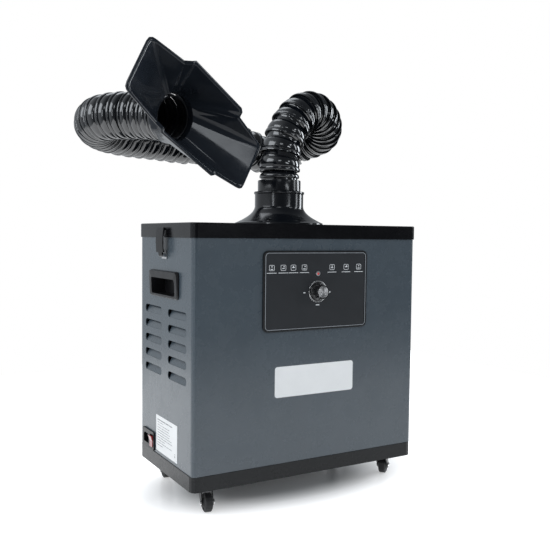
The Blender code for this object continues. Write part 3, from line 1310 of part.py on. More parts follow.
def suction_arm():
    """Swivel cuff, arm sections and hood, each carried by the one before."""
    swivel = pivot("arm_swivel_axis", Matrix.Translation((0, 0, CUFF_BASE)))
    lip_low = CABINET_HEIGHT + FIT + FLANGE_HEIGHT - FLANGE_LIP
    cuff_local = [(ARM_BORE, lip_low - FIT - CUFF_BARB), (CUFF_SPIGOT_RADIUS, lip_low - FIT - CUFF_BARB),
                  (CUFF_BARB_RADIUS, lip_low - FIT - CUFF_BARB / 2), (CUFF_BARB_RADIUS, lip_low - FIT),
                  (CUFF_SPIGOT_RADIUS, lip_low - FIT), (CUFF_SPIGOT_RADIUS, CUFF_BASE),
                  (CUFF_RADIUS, CUFF_BASE),
                  (CUFF_RADIUS, CUFF_BASE + CUFF_HEIGHT), (ARM_BORE, CUFF_BASE + CUFF_HEIGHT)]
    cuff = turned([(radius, height - CUFF_BASE) for radius, height in cuff_local], ROUND_SIDES)
    piece("arm_cuff", cuff, "gloss_black_plastic", WORLD_PLACES[swivel.name].copy(), swivel)

    route, edges, balls, bends = arm_pivots()
    stops = [0, *PIVOT_RINGS, RING_COUNT]
    carrier = swivel
    for index, (first, last) in enumerate(zip(stops, stops[1:])):
        start = balls[index - 1] if index else None
        end = balls[index] if index < len(balls) else None
        if index:
            carrier = pivot("arm_bend_%d_axis" % index, bends[index - 1], carrier)
        mesh = arm_section(route, edges, first, last, start, end)
        place = WORLD_PLACES[carrier.name].copy()
        mesh.transform(place.inverted())
        piece("arm_section_%d" % (index + 1), mesh, "gloss_black_plastic", place, carrier)
    return carrier


# Hood

def mouth_points():
    """All round the mouth: shares of the half length and width, the angle at the neck, the step forward."""
    points = []
    for turn in range(4):
        quarter = MOUTH_SHARES[:-1] if turn % 2 == 0 else MOUTH_SHARES[:0:-1]
        sign_x = 1 if turn in (0, 3) else -1
        sign_y = 1 if turn in (0, 1) else -1
        for along, across, swing, forward in quarter:
            angle = math.radians(90) * (turn + (swing if turn % 2 == 0 else 1 - swing))
            points.append((sign_x * along, sign_y * across, angle, forward))
    return points


def mouth_loop(inset, height):
    """Loop of the mouth's outline, drawn in by an inset, with its raised middle part standing forward."""
    loop = []
    for along, across, angle, forward in mouth_points():
        loop.append(Vector((along * (HOOD_HALF_LENGTH - inset), across * (HOOD_HALF_WIDTH - inset),
                            height + forward * HOOD_BUMP_RISE)))
    return loop


def neck_loop(radius, height):
    """Circle of the hood's neck, with a point for each point of the mouth."""
    return [Vector((radius * math.cos(angle), radius * math.sin(angle), height))
            for along, across, angle, forward in mouth_points()]


def hood(carrier):
    """Moulded hood: a collar that turns on the arm's last ring, and a funnel that opens to a wide mouth."""
    outer_neck = HOOD_NECK_BORE + HOOD_NECK_WALL
    loops = [neck_loop(HOOD_LIP_BORE, -HOOD_COLLAR),
             neck_loop(outer_neck, -HOOD_COLLAR),
             neck_loop(outer_neck, 0),
             mouth_loop(HOOD_RIM, HOOD_DEPTH - HOOD_RIM_DEPTH),
             mouth_loop(0, HOOD_DEPTH - HOOD_RIM_DEPTH),
             mouth_loop(0, HOOD_DEPTH),
             mouth_loop(HOOD_WALL, HOOD_DEPTH),
             mouth_loop(HOOD_RIM + HOOD_WALL, HOOD_DEPTH - HOOD_RIM_DEPTH + HOOD_WALL),
             neck_loop(HOOD_NECK_BORE, FIT),
             neck_loop(HOOD_NECK_BORE, -HOOD_COLLAR + HOOD_LIP),
             neck_loop(HOOD_LIP_BORE, -HOOD_COLLAR + HOOD_LIP)]
    place = hood_frame()
    turn = pivot("hood_turn_axis", place, carrier)
    piece("hood", skin(loops, closed=True), "gloss_black_plastic", place, turn, 20)


def build():
    """Clears the scene's objects and builds every sub-part."""
    for thing in list(bpy.data.objects):
        bpy.data.objects.remove(thing)
    base_tray()
    cabinet_shell()
    lid()
    lid_gasket()
    control_panel()
    speed_control()
    power_lamp()
    for name, side in (("left", -1), ("right", 1)):
        carry_handle("carry_handle_" + name, side)
        lid_latch("latch_" + name, side)
    mains_inlet()
    casters()
    filter_chamber()
    blower()
    control_board()
    duct_flange()
    hood(suction_arm())


build()
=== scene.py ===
import json
import math

import bmesh
import bpy
from bpy.props import FloatProperty, FloatVectorProperty, IntProperty, PointerProperty
from mathutils import Matrix, Quaternion, Vector

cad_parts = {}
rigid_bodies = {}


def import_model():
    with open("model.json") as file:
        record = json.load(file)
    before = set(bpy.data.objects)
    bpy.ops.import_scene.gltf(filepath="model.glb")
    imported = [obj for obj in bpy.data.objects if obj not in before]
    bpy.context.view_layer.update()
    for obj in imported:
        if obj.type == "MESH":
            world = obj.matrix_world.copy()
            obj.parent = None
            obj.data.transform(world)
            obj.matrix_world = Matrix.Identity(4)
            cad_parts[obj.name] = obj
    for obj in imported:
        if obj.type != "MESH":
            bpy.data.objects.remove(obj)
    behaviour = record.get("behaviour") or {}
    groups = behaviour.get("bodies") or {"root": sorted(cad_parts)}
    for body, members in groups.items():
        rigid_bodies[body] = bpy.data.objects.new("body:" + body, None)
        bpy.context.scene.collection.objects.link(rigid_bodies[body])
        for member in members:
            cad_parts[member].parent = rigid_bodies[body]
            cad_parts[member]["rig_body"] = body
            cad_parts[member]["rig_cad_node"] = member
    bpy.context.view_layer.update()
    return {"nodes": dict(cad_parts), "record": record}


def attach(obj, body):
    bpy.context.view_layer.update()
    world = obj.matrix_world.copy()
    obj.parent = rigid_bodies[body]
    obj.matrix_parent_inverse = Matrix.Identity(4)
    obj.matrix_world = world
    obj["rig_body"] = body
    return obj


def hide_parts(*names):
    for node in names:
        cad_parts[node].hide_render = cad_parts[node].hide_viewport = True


bl_info = {
    "name": "Fume extractor looks",
    "version": (1, 0, 0),
    "blender": (4, 5, 0),
    "location": "3D View > Sidebar > Extractor",
    "description": "Dresses the packed fume extractor with its moulded arm, hood, labels and finishes",
    "category": "Object",
}

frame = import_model()

# Main planes and places of the cabinet, in metres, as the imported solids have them
FRONT_Y = -0.115
LEFT_X = -0.2155
FLANGE_BASE = 0.4153
CUFF_BASE = 0.4736
ARM_BASE = 0.4939
FLOOR_Z = -0.041
FIT = 0.0003
KNOB_PLACE = (0.0073, 0, 0.3045)
PANEL_PLACE = (0.006, 0.3065)

# Films on the cabinet: their thickness, how far each is held off what it lies on, and how far the panel's field and
# its rim stand out of the front wall
LABEL_FILM = 0.00025
PRINT_FILM = 0.0001
LABEL_LIFT = 0.0001
RULE_LIFT = 0.00035
FIELD_OUT = 0.0022
FIELD_LIFT = 0.00005
RIM_OUT = 0.0033
FILM_OVERLAP = 0.00003

# The labels' middles and corners, and the side one's width, height and thickness
FRONT_LABEL_PLACE = (0.0055, 0.1585)
FRONT_LABEL_CORNER = 0.0045
SIDE_LABEL = (0.093, 0.061, LABEL_FILM, 0.0012)
SIDE_LABEL_Y = -0.0087
SIDE_LABEL_Z = 0.0605

# Plain bars in place of the side label's print: the lengths in each row, of which the first is a thicker heading
SIDE_ROWS = (
    (0.015, 0.019, 0.013, 0.014), (0.008, 0.016), (0.012, 0.007, 0.021, 0.009), (0.017, 0.011, 0.020),
    (0.009, 0.022, 0.014, 0.006), (0.020, 0.013, 0.017), (0.011, 0.018, 0.010, 0.019),
    (0.014, 0.009, 0.016, 0.022), (0.019, 0.012), (0.016, 0.021, 0.011, 0.012), (0.010, 0.013))
SIDE_HEADING = 0.0015
SIDE_LINE = 0.0008
SIDE_ROW_START = 0.040
SIDE_ROW_TOP = 0.0235
SIDE_ROW_STEP = 0.0043
SIDE_BAR_GAP = 0.0016
SIDE_BAR_CORNER = 0.0002
SIDE_MARK = (0.0024, 0.0014, PRINT_FILM, 0.0003)
SIDE_MARK_SHIFT = 0.037
SIDE_MARK_DROP = 0.0225
SIDE_MARK_LIFTS = (0, 0.0022, 0.0044)

# The panel's prints, and the grey line along its rim that is a painted highlight: width, height, the line's width
# where there is one, thickness and corner
PANEL_FIELD = (0.1955, 0.1225, PRINT_FILM, 0.0060)
PANEL_RIM_HIGHLIGHT = (0.1972, 0.1242, 0.0007, PRINT_FILM, 0.0064)
SIGN_FRAME = (0.0098, 0.0092, 0.0006, PRINT_FILM, 0.0020)
SIGN_BAR = (0.0046, 0.0012, PRINT_FILM, 0.0004)
SIGN_DOT = (0.0020, 0.0020, PRINT_FILM, 0.0009)
SIGN_RULE = (0.0180, 0.0008, PRINT_FILM, 0.0002)
SIGN_PLACES = (-0.0807, -0.0593, -0.0404, -0.0193, 0.0353, 0.0640, 0.0902)
SIGN_Z = 0.3445
SIGN_BAR_Z = 0.3435
SIGN_DOT_Z = 0.3462
SIGN_RULE_Z = 0.3362
SIGN_SHIFT = 0.0012

# Marks round the knob: middle, width and height of each
DIAL_MARKS = (
    (-0.0190, 0.3030, 0.0040, 0.0014), (0.0315, 0.3030, 0.0016, 0.0030), (0.0073, 0.2822, 0.0070, 0.0014))
DIAL_CORNER = 0.0005

# The arm's route and its rings, as the part's source sets them out
ARM_REACH = 0.300
ARM_END_STEP = 0.066
SPAN_SAMPLES = 24
ARM_ROUTE_SHARES = (
    (0, 0, 0.230), (0.155, 0.015, 0.445), (0.350, 0.090, 0.440), (0.495, 0.240, 0.315),
    (0.395, 0.470, 0.300), (0.245, 0.500, 0.140), (-0.055, 0.465, 0.300), (-0.335, 0.495, 0.220),
    (-0.545, 0.470, 0.245), (-0.780, 0.400, 0.240), (-1.025, 0.275, 0.255), (-1.075, 0.075, 0.290))
RING_RUN_SHARES = (
    (1, 0.0164), (1, 0.0451), (1, 0.0759), (1, 0.1036), (2, 0.1456), (3, 0.2031), (2, 0.2359),
    (3, 0.2769), (1, 0.2974), (1, 0.3200), (18, 0.7590), (7, 0.8533), (7, 1))
PIVOT_RINGS = (2, 21, 26, 31, 44)
SKIRT_REACH = 0.006
HOOD_PLACE_SHARES = (-0.815, -0.380, 0.246)
HOOD_TURNS = (-67.5, -8.7, -24.8)
HOOD_COLLAR = 0.014
HOOD_LIP = 0.003
HOOD_BARB = 0.003

# One ring of the arm: radius and height above the edge of its brim, for a ring drawn out to RING_PITCH
RING_PITCH = 0.024
RING_BRIM = (
    (0.0352, 0.0003), (0.0361, -0.0001), (0.0366, 0.0005), (0.0366, 0.0022), (0.0364, 0.0040),
    (0.0359, 0.0047), (0.0352, 0.0050))
RING_DOME = (
    (0.0347, 0.0054), (0.0351, 0.0062), (0.0354, 0.0082), (0.0353, 0.0106), (0.0348, 0.0130),
    (0.0339, 0.0152), (0.0327, 0.0170), (0.0319, 0.0178))
RING_NECK = (
    (0.0311, 0.0184), (0.0308, 0.0190), (0.0308, 0.0236), (0.0318, 0.0246), (0.0322, 0.0252),
    (0.0321, 0.0262), (0.0296, 0.0262))
RING_BORE = ((0.0296, 0.0205), (0.0312, 0.0165), (0.0325, 0.0115), (0.0327, 0.0050), (0.0329, 0.0012))

# The first ring has a sleeve in place of its brim, which sits in the cuff
RING_SLEEVE = ((0.0296, 0.0001), (0.0322, 0.0001), (0.0322, 0.0044), (0.0336, 0.0050))

# A ring above a ball joint has a shorter brim and a wider bore, which clear the ball at the joint's limits
SOCKET_BRIM = ((0.0356, 0.0021), (0.0361, 0.0015), (0.0366, 0.0019), (0.0366, 0.0028), *RING_BRIM[4:])
SOCKET_BORE = (
    (0.0296, 0.0232), (0.0300, 0.0196), (0.0310, 0.0182), (0.0330, 0.0156), (0.0339, 0.0120), (0.0344, 0.0036))

# The top of a ring that carries a ball joint: radius and height from the middle of the ball
BALL_TOP = (
    (0.0312, -0.0119), (0.0302, -0.0115), (0.0308, -0.0096), (0.0318, -0.0048), (0.0322, 0.0),
    (0.0318, 0.0048), (0.0308, 0.0095), (0.0290, 0.0095))

# Turned profiles of the flange and the cuff: radius and height above their feet
TURNED_SIDES = 96
FLANGE_FOOT = ((0.0772, 0), (0.078, 0.0008), (0.078, 0.0027), (0.0774, 0.0034))
FLARE_RADIUS = 0.043
FLARE_WIDTH = 0.0335
FLARE_FOOT = 0.0035
FLARE_HEIGHT = 0.0295
FLARE_STEPS = 14
FLANGE_COLLAR = (
    (0.043, 0.0535), (0.0441, 0.0540), (0.0445, 0.0546), (0.0445, 0.0574), (0.0440, 0.058), (0.0362, 0.058))
FLANGE_BORE = (
    (0.0355, 0.0574), (0.0355, 0.055), (0.040, 0.055), (0.040, 0.033), (0.0495, 0.018), (0.070, 0.0030), (0.073, 0))
CUFF_PROFILE = (
    (0.0275, -0.0063), (0.0347, -0.0063), (0.0372, -0.0048), (0.0372, -0.0033), (0.0347, -0.0033),
    (0.0347, 0), (0.0372, 0), (0.038, 0.0008), (0.038, 0.0188), (0.0377, 0.0196), (0.0368, 0.020),
    (0.0352, 0.020), (0.0349, 0.0185), (0.0275, 0.0185))

# Flat spots that the flange's four screws sit in
SCREW_TURNS = (45, 135, 225, 315)
SCREW_CIRCLE = 0.0665
SPOT_SIDES = 24
SPOT_RADIUS = 0.0046
SPOT_HEIGHT = 0.0044
SPOT_CUT = 0.03

# Shading, creases and picking: angles in degrees, lengths in metres
FLAT_ANGLE = 1.5
CREASE_ANGLE = 24
CREASE_WIDTH = 0.0008
ROUND_ANGLE = 40
FACE_WEIGHT = 80
OUTWARD_LEAST = 0.001
FLAT_LEAST = 0.9
MERGED = 0.00001

# The studio: distances from the cabinet's middle between which the floor's glow comes up out of a painted shadow
# under the cabinet, with depth counted BODY_ASPECT times, since the cabinet is that much wider than deep; where the
# room is bright in the gloss; the camera
FLOOR_SHADOW_FADE = (0.13, 0.37)
BODY_ASPECT = 1.87
BRIGHT_SIDE = (-0.66, 0.75, 0)
BRIGHT_RANGE = (-0.4, 0.9)
DARK_LEVEL = 0.12
FILM_WIDTH = 36
VIEW_END = 100

# Soft lamps: place, aim, width, height, the setting that powers each, its share of that, and its roll in degrees
LAMPS = {
    "left_lamp": ((-1.9, 0.1, 1.4), (0, 0, 0.35), 1.4, 1.2, "left_power", 1, 0),
    "front_lamp": ((0.47, -1.93, 0.85), (-0.15, -0.1, 0.5), 0.6, 0.2, "front_power", 1, -30),
    "corner_lamp": ((0.86, -1.56, 1.35), (-0.18, -0.1, 0.52), 0.4, 0.18, "front_power", 0.5, 25),
    "upper_lamp": ((-0.86, -1.54, 1.45), (0, 0, 0.5), 0.5, 0.3, "front_power", 0.5, 0),
    "strip_lamp": ((1.7, -0.94, 1.0), (0, 0, 0.45), 0.24, 1.2, "strip_power", 0.7, 0),
    "right_strip": ((1.95, 0.08, 0.8), (0, 0, 0.55), 0.42, 1.0, "strip_power", 1.5, 0),
    "near_strip": ((-1.88, -1.19, 0.72), (-0.25, -0.05, 0.5), 0.16, 1.0, "strip_power", 0.5, 0),
    "top_lamp": ((0.1, 1.0, 2.1), (0, 0, 0.35), 1.0, 1.0, "top_power", 1, 0),
}


# Sizes and colours that a user may change

class CabinetSettings(bpy.types.PropertyGroup):
    """Colours of the cabinet's painted and moulded parts."""
    body_paint: FloatVectorProperty(
        name="Body paint", description="Blue-grey powder coat of the sheet body",
        subtype="COLOR", min=0, max=1, default=(0.059, 0.077, 0.093))
    lid_paint: FloatVectorProperty(
        name="Lid paint", description="Black powder coat of the lid",
        subtype="COLOR", min=0, max=1, default=(0.003, 0.003, 0.004))
    tray_paint: FloatVectorProperty(
        name="Tray paint", description="Dark grey powder coat of the tray",
        subtype="COLOR", min=0, max=1, default=(0.010, 0.011, 0.012))
    gloss_black: FloatVectorProperty(
        name="Gloss black", description="Moulded plastic of the flange, arm and hood",
        subtype="COLOR", min=0, max=1, default=(0.003, 0.004, 0.006))
    label_width: FloatProperty(
        name="Front label width", description="Width of the bare label on the front",
        unit="LENGTH", default=0.1545)
    label_height: FloatProperty(
        name="Front label height", description="Height of the bare label on the front",
        unit="LENGTH", default=0.0505)


class ArmSettings(bpy.types.PropertyGroup):
    """Sizes of the ring-jointed arm."""
    sides: IntProperty(
        name="Ring sides", description="Number of faces round each ring", min=24, max=96, default=64)
    sheen: FloatProperty(
        name="Ring roughness", description="Roughness of the rings' gloss", min=0.02, max=0.6, default=0.13)


class StudioSettings(bpy.types.PropertyGroup):
    """Lamps, floor and camera."""
    floor_size: FloatProperty(
        name="Floor size", description="Side of the pale floor", unit="LENGTH", default=2.4)
    left_power: FloatProperty(
        name="Left lamp power", description="Power of the large soft lamp at the left", default=18.0)
    front_power: FloatProperty(
        name="Front lamp power", description="Power of the slanted soft lamp in front", default=3.0)
    strip_power: FloatProperty(
        name="Strip lamp power", description="Power of the upright strip lamp at the right", default=8.0)
    top_power: FloatProperty(
        name="Top lamp power", description="Power of the soft lamp above", default=6.0)
    lamp_colour: FloatVectorProperty(
        name="Lamp colour", description="Cool white of the lamps", subtype="COLOR", min=0, max=1,
        default=(0.90, 0.95, 1.0))
    fill: FloatProperty(
        name="World fill", description="Strength of the light from all round", min=0, max=1, default=0.52)
    backdrop: FloatProperty(
        name="Backdrop in gloss", description="How bright the backdrop stands in the gloss", min=0, max=1,
        default=0.75)
    camera_place: FloatVectorProperty(
        name="Camera place", description="Where the camera stands", subtype="XYZ", unit="LENGTH",
        default=(-0.65698, -1.12257, 0.39584))
    camera_turns: FloatVectorProperty(
        name="Camera turns", description="Turn to the right, tilt upwards and roll, in degrees",
        default=(30.083, -3.086, 0.590))
    camera_focus: FloatProperty(
        name="Focal length", description="Focal length as a share of the picture's width", default=1.32342)


# Modelling by hand

def let_go():
    """Back to object mode with nothing selected."""
    if bpy.context.object and bpy.context.object.mode != "OBJECT":
        bpy.ops.object.mode_set(mode="OBJECT")
    bpy.ops.object.select_all(action="DESELECT")


def pick(*pieces):
    """Selects only these pieces, the first one active."""
    let_go()
    for chosen in pieces:
        chosen.select_set(True)
    bpy.context.view_layer.objects.active = pieces[0]


def edit(mode, action="SELECT"):
    """Edit mode on the active piece, with all or nothing of it selected."""
    bpy.ops.object.mode_set(mode="EDIT")
    bpy.ops.mesh.select_mode(type=mode)
    bpy.ops.mesh.select_all(action=action)


def named(piece, name):
    """Gives the piece and its mesh their name."""
    piece.name = name
    piece.data.name = name
    return piece


def started(name):
    """The primitive just added, under its name."""
    return named(bpy.context.object, name)


def modified(piece, kind, **settings):
    """Applies a modifier with these settings."""
    pick(piece)
    change = piece.modifiers.new(kind, kind)
    for key, value in settings.items():
        setattr(change, key, value)
    bpy.ops.object.modifier_apply(modifier=change.name)


def outwards(piece):
    """Merges doubles and turns every face outwards."""
    pick(piece)
    edit("VERT")
    bpy.ops.mesh.remove_doubles(threshold=MERGED)
    bpy.ops.mesh.normals_make_consistent(inside=False)
    let_go()


def smoothed(piece, angle=35):
    """Shades smooth except over sharp edges, and puts the piece's place in its mesh."""
    pick(piece)
    bpy.ops.object.transform_apply()
    bpy.ops.object.shade_smooth_by_angle(angle=math.radians(angle))


def bridged(piece):
    """Joins the two open edges of a form, and turns its faces outwards."""
    edit("EDGE", "DESELECT")
    bpy.ops.mesh.select_non_manifold()
    bpy.ops.mesh.bridge_edge_loops()
    let_go()
    outwards(piece)


def turned(name, profile, sides, base=0):
    """A closed turned form about Z: a circle drawn up through rows of radius and height above its base."""
    rows = [(radius, base + height) for radius, height in profile]
    let_go()
    radius, height = rows[0]
    bpy.ops.mesh.primitive_circle_add(vertices=sides, radius=radius, location=(0, 0, height))
    new = started(name)
    bpy.ops.object.transform_apply()
    edit("EDGE")
    for (wide, low), (next_wide, high) in zip(rows, rows[1:]):
        bpy.ops.mesh.extrude_region_move(TRANSFORM_OT_translate={"value": (0, 0, high - low)})
        bpy.ops.transform.resize(value=(next_wide / wide, next_wide / wide, 1), center_override=(0, 0, high))
    bridged(new)
    return new


def plate(name, width, height, thickness, corner, place, steps=6):
    """A thin plate with rounded corners: X across, Y up and Z out of it, then set at its place."""
    let_go()
    bpy.ops.mesh.primitive_plane_add(size=1, location=(0, 0, 0))
    new = started(name)
    bpy.ops.transform.resize(value=(width, height, 1))
    bpy.ops.object.transform_apply()
    edit("VERT")
    bpy.ops.mesh.bevel(offset=corner, segments=steps, affect="VERTICES")
    bpy.ops.mesh.select_all(action="SELECT")
    bpy.ops.mesh.extrude_region_move(TRANSFORM_OT_translate={"value": (0, 0, thickness)})
    let_go()
    outwards(new)
    new.matrix_world = place
    smoothed(new)
    return new


def copied(name, source):
    """A copy of a finished form with a mesh of its own."""
    new = source.copy()
    new.data = source.data.copy()
    bpy.context.scene.collection.objects.link(new)
    return named(new, name)


def gathered(name, pieces):
    """Joins copies into one piece."""
    pick(*pieces)
    bpy.ops.object.join()
    return started(name)


def from_solid(name, node):
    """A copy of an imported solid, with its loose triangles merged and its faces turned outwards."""
    source = frame["nodes"][node]
    new = copied(name, source)
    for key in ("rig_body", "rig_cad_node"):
        if key in new:
            del new[key]
    new.parent = None
    new.matrix_world = Matrix.Identity(4)
    new.data.materials.clear()
    outwards(new)
    return new


def dressed(piece, finish, body, slot, *nodes):
    """Gives the piece its finish (None keeps its own) and its body, and hides the solids it stands for; its slot is
    not used.
    """
    if finish:
        piece.data.materials.clear()
        piece.data.materials.append(finish)
    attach(piece, body)
    if nodes:
        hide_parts(*nodes)


# The arm's route

def hood_place():
    """Frame of the hood: its origin is the middle of its neck, and Z points out of the mouth."""
    heading, pitch, roll = (math.radians(angle) for angle in HOOD_TURNS)
    out = Vector((math.cos(pitch) * math.cos(heading), math.cos(pitch) * math.sin(heading), math.sin(pitch)))
    level = Vector((0, 0, 1)).cross(out).normalized()
    along = level * math.cos(roll) + out.cross(level) * math.sin(roll)
    place = Matrix((along, out.cross(along), out)).transposed().to_4x4()
    place.translation = Vector(HOOD_PLACE_SHARES) * ARM_REACH + Vector((0, 0, ARM_BASE))
    return place


class ArmRoute:
    """The arm's centre line: a cubic B-spline with a frame carried along it without twist."""

    def __init__(self):
        hood = hood_place()
        out = hood.to_3x3() @ Vector((0, 0, 1))
        end = hood.translation - out * (HOOD_COLLAR - HOOD_LIP - FIT - HOOD_BARB)
        start = Vector((0, 0, ARM_BASE))
        controls = [start + Vector(share) * ARM_REACH for share in ARM_ROUTE_SHARES]
        controls = [2 * start - controls[0], start, *controls]
        controls += [end - out * ARM_END_STEP, end, end + out * ARM_END_STEP]
        self.points = []
        spans = len(controls) - 3
        for index in range(spans * SPAN_SAMPLES + 1):
            span = min(index // SPAN_SAMPLES, spans - 1)
            self.points.append(self.between(controls[span:span + 4], index / SPAN_SAMPLES - span))
        self.lengths = [0]
        for before, after in zip(self.points, self.points[1:]):
            self.lengths.append(self.lengths[-1] + (after - before).length)
        last = len(self.points) - 1
        self.tangents = [(self.points[min(i + 1, last)] - self.points[max(i - 1, 0)]).normalized()
                         for i in range(last + 1)]
        self.tangents[0] = Vector((0, 0, 1))
        self.tangents[-1] = out
        side = Vector((1, 0, 0))
        self.sides = []
        for tangent in self.tangents:
            side = (side - tangent * side.dot(tangent)).normalized()
            self.sides.append(side.copy())

    @staticmethod
    def between(four, part):
        """Point of a uniform cubic B-spline over four control points."""
        weights = ((1 - part) ** 3, 3 * part ** 3 - 6 * part ** 2 + 4,
                   -3 * part ** 3 + 3 * part ** 2 + 3 * part + 1, part ** 3)
        return sum((point * weight for point, weight in zip(four, weights)), Vector((0, 0, 0))) / 6

    def at(self, length):
        """Frame at a length along the arm: Z along the arm, X to the carried side."""
        index = 0
        while index < len(self.lengths) - 2 and self.lengths[index + 1] < length:
            index += 1
        part = (length - self.lengths[index]) / (self.lengths[index + 1] - self.lengths[index])
        tangent = self.tangents[index].lerp(self.tangents[index + 1], part).normalized()
        side = self.sides[index].lerp(self.sides[index + 1], part)
        side = (side - tangent * side.dot(tangent)).normalized()
        place = Matrix((side, tangent.cross(side), tangent)).transposed().to_4x4()
        place.translation = self.points[index].lerp(self.points[index + 1], part)
        return place


def ring_edges(total):
    """Length along the arm of each ring's lower edge, and of the arm's end."""
    edges = [0]
    for count, share in RING_RUN_SHARES:
        start = edges[-1]
        step = (share * total - start) / count
        edges += [start + step * (index + 1) for index in range(count)]
    return edges


# Finishes

class Nodes:
    """A node tree in the making."""

    def __init__(self, tree):
        self.tree = tree

    def node(self, kind, values=None, **settings):
        """A node with its settings, and values on its unlinked inputs."""
        new = self.tree.nodes.new(kind)
        for key, value in settings.items():
            setattr(new, key, value)
        for key, value in (values or {}).items():
            new.inputs[key].default_value = value
        return new

    def link(self, source, target):
        """Links an output to an input."""
        self.tree.links.new(source, target)

    def worked(self, operation, first, second=None, kind="ShaderNodeMath"):
        """Node of a sum on one or two values; the second is a socket or a constant."""
        new = self.node(kind, operation=operation)
        self.link(first, new.inputs[0])
        if isinstance(second, tuple):
            new.inputs[1].default_value = second
        elif second is not None:
            self.link(second, new.inputs[1])
        return new

    def ranged(self, value, low, high, to_low, to_high, curve="LINEAR"):
        """A value moved from one range to another."""
        limits = {"From Min": low, "From Max": high, "To Min": to_low, "To Max": to_high}
        new = self.node("ShaderNodeMapRange", limits, interpolation_type=curve)
        self.link(value, new.inputs["Value"])
        return new.outputs["Result"]


class Finish(Nodes):
    """A finish in the making: a shader with its pattern nodes."""

    def __init__(self, name, colour, roughness, metallic=0.0):
        colour = tuple(colour)
        self.material = bpy.data.materials.new(name)
        self.material.use_nodes = True
        self.material.diffuse_color = (*colour, 1)
        super().__init__(self.material.node_tree)
        self.shader = self.tree.nodes["Principled BSDF"]
        self.shader.inputs["Base Color"].default_value = (*colour, 1)
        self.shader.inputs["Roughness"].default_value = roughness
        self.shader.inputs["Metallic"].default_value = metallic
        self.colour = colour
        self.roughness = roughness
        self.spot = self.node("ShaderNodeTexCoord").outputs["Object"]
        self.height = None

    def placed(self, scale=(1, 1, 1), location=(0, 0, 0)):
        """Object coordinates, stretched or shifted for a pattern."""
        mapping = self.node("ShaderNodeMapping", {"Scale": scale, "Location": location})
        self.link(self.spot, mapping.inputs["Vector"])
        return mapping.outputs["Vector"]

    def noise(self, scale, detail=3.0, rough=0.5, spot=None):
        """Height of a noise pattern."""
        new = self.node("ShaderNodeTexNoise", {"Scale": scale, "Detail": detail, "Roughness": rough})
        self.link(spot or self.spot, new.inputs["Vector"])
        return new.outputs["Fac"]

    def mixed(self, share, first, second):
        """Two colours mixed by a share; each is a colour or a socket."""
        new = self.node("ShaderNodeMix", data_type="RGBA")
        self.link(share, new.inputs[0])
        for colour, target in ((first, new.inputs[6]), (second, new.inputs[7])):
            if isinstance(colour, tuple):
                target.default_value = (*colour, 1)
            else:
                self.link(colour, target)
        return new.outputs[2]

    def tinted(self, share):
        """The finish's colour, lighter or darker by a share."""
        return tuple(min(1.0, part * share) for part in self.colour)

    def mottled(self, scale, low, high):
        """Slow changes of tone over the surface."""
        tone = self.ranged(self.noise(scale, 4.0, 0.6), 0.3, 0.7, 0, 1)
        self.paint(self.mixed(tone, self.tinted(low), self.tinted(high)))
        return self

    def paint(self, colour):
        """Sets the colour's socket, over what was there."""
        self.link(colour, self.shader.inputs["Base Color"])
        self.painted = colour

    def specks(self, colour, scale, amount, size=0.62):
        """Fine dust or flecks over the colour."""
        fleck = self.ranged(self.noise(scale, 2.0, 0.6), size, size + 0.08, 0, amount)
        self.paint(self.mixed(fleck, self.painted, colour))
        return self

    def rubbed(self, scale, spread, stretch=None):
        """Uneven gloss, from handling and from the mould."""
        spot = self.placed(scale=stretch) if stretch else None
        share = self.ranged(self.noise(scale, 5.0, 0.65, spot), 0.3, 0.7,
                            max(0.02, self.roughness - spread), min(1, self.roughness + spread))
        self.link(share, self.shader.inputs["Roughness"])
        return self

    def raised(self, value, depth):
        """Adds a bump of that depth in metres."""
        new = self.node("ShaderNodeBump", {"Strength": 1.0, "Distance": depth})
        self.link(value, new.inputs["Height"])
        if self.height:
            self.link(self.height, new.inputs["Normal"])
        self.height = new.outputs["Normal"]
        self.link(self.height, self.shader.inputs["Normal"])
        return self

    def grained(self, scale, depth, detail=2.0):
        """A fine moulded or sprayed grain."""
        return self.raised(self.noise(scale, detail, 0.5), depth)

    def glossed(self, specular):
        """Strength of the surface's plain reflection."""
        self.shader.inputs["Specular IOR Level"].default_value = specular
        return self


def powder_coat(name, colour, roughness, specular=0.5):
    """Sprayed powder coat: fine orange peel, slow changes of tone, and dust."""
    coat = Finish(name, colour, roughness).glossed(specular)
    coat.mottled(9.0, 0.95, 1.05).specks(tuple(min(1, part * 1.6 + 0.02) for part in colour), 900.0, 0.18)
    coat.rubbed(26.0, 0.05).grained(1100.0, 0.00003).grained(4200.0, 0.000012)
    return coat.material


def gloss_moulding(name, colour, roughness, specular=0.5):
    """Polished moulding: a faint ripple from the mould, smears and fine dust."""
    moulding = Finish(name, colour, roughness).glossed(specular)
    moulding.mottled(14.0, 0.85, 1.2).specks(tuple(part + 0.03 for part in colour), 1300.0, 0.10, 0.68)
    moulding.rubbed(38.0, 0.03).grained(60.0, 0.000008, 0.0)
    return moulding.material


def satin_moulding(name, colour, roughness, specular=0.45):
    """Spark-eroded moulding: an even fine grain."""
    moulding = Finish(name, colour, roughness).glossed(specular)
    moulding.mottled(30.0, 0.9, 1.12).specks(tuple(part + 0.04 for part in colour), 1800.0, 0.15)
    moulding.rubbed(60.0, 0.06).grained(2600.0, 0.00003, 3.0)
    return moulding.material


def zinc_plate(name, colour, roughness):
    """Zinc-plated sheet: small spangles and drawn lines."""
    sheet = Finish(name, colour, roughness, 1.0)
    cells = sheet.node("ShaderNodeTexVoronoi", {"Scale": 160.0})
    sheet.link(sheet.spot, cells.inputs["Vector"])
    share = sheet.ranged(cells.outputs["Distance"], 0.0, 0.8, 0, 1)
    sheet.paint(sheet.mixed(share, sheet.tinted(0.88), sheet.tinted(1.08)))
    sheet.specks((0.30, 0.27, 0.22), 240.0, 0.25)
    sheet.rubbed(90.0, 0.10, (1, 1, 9))
    sheet.grained(1500.0, 0.00002)
    return sheet.material


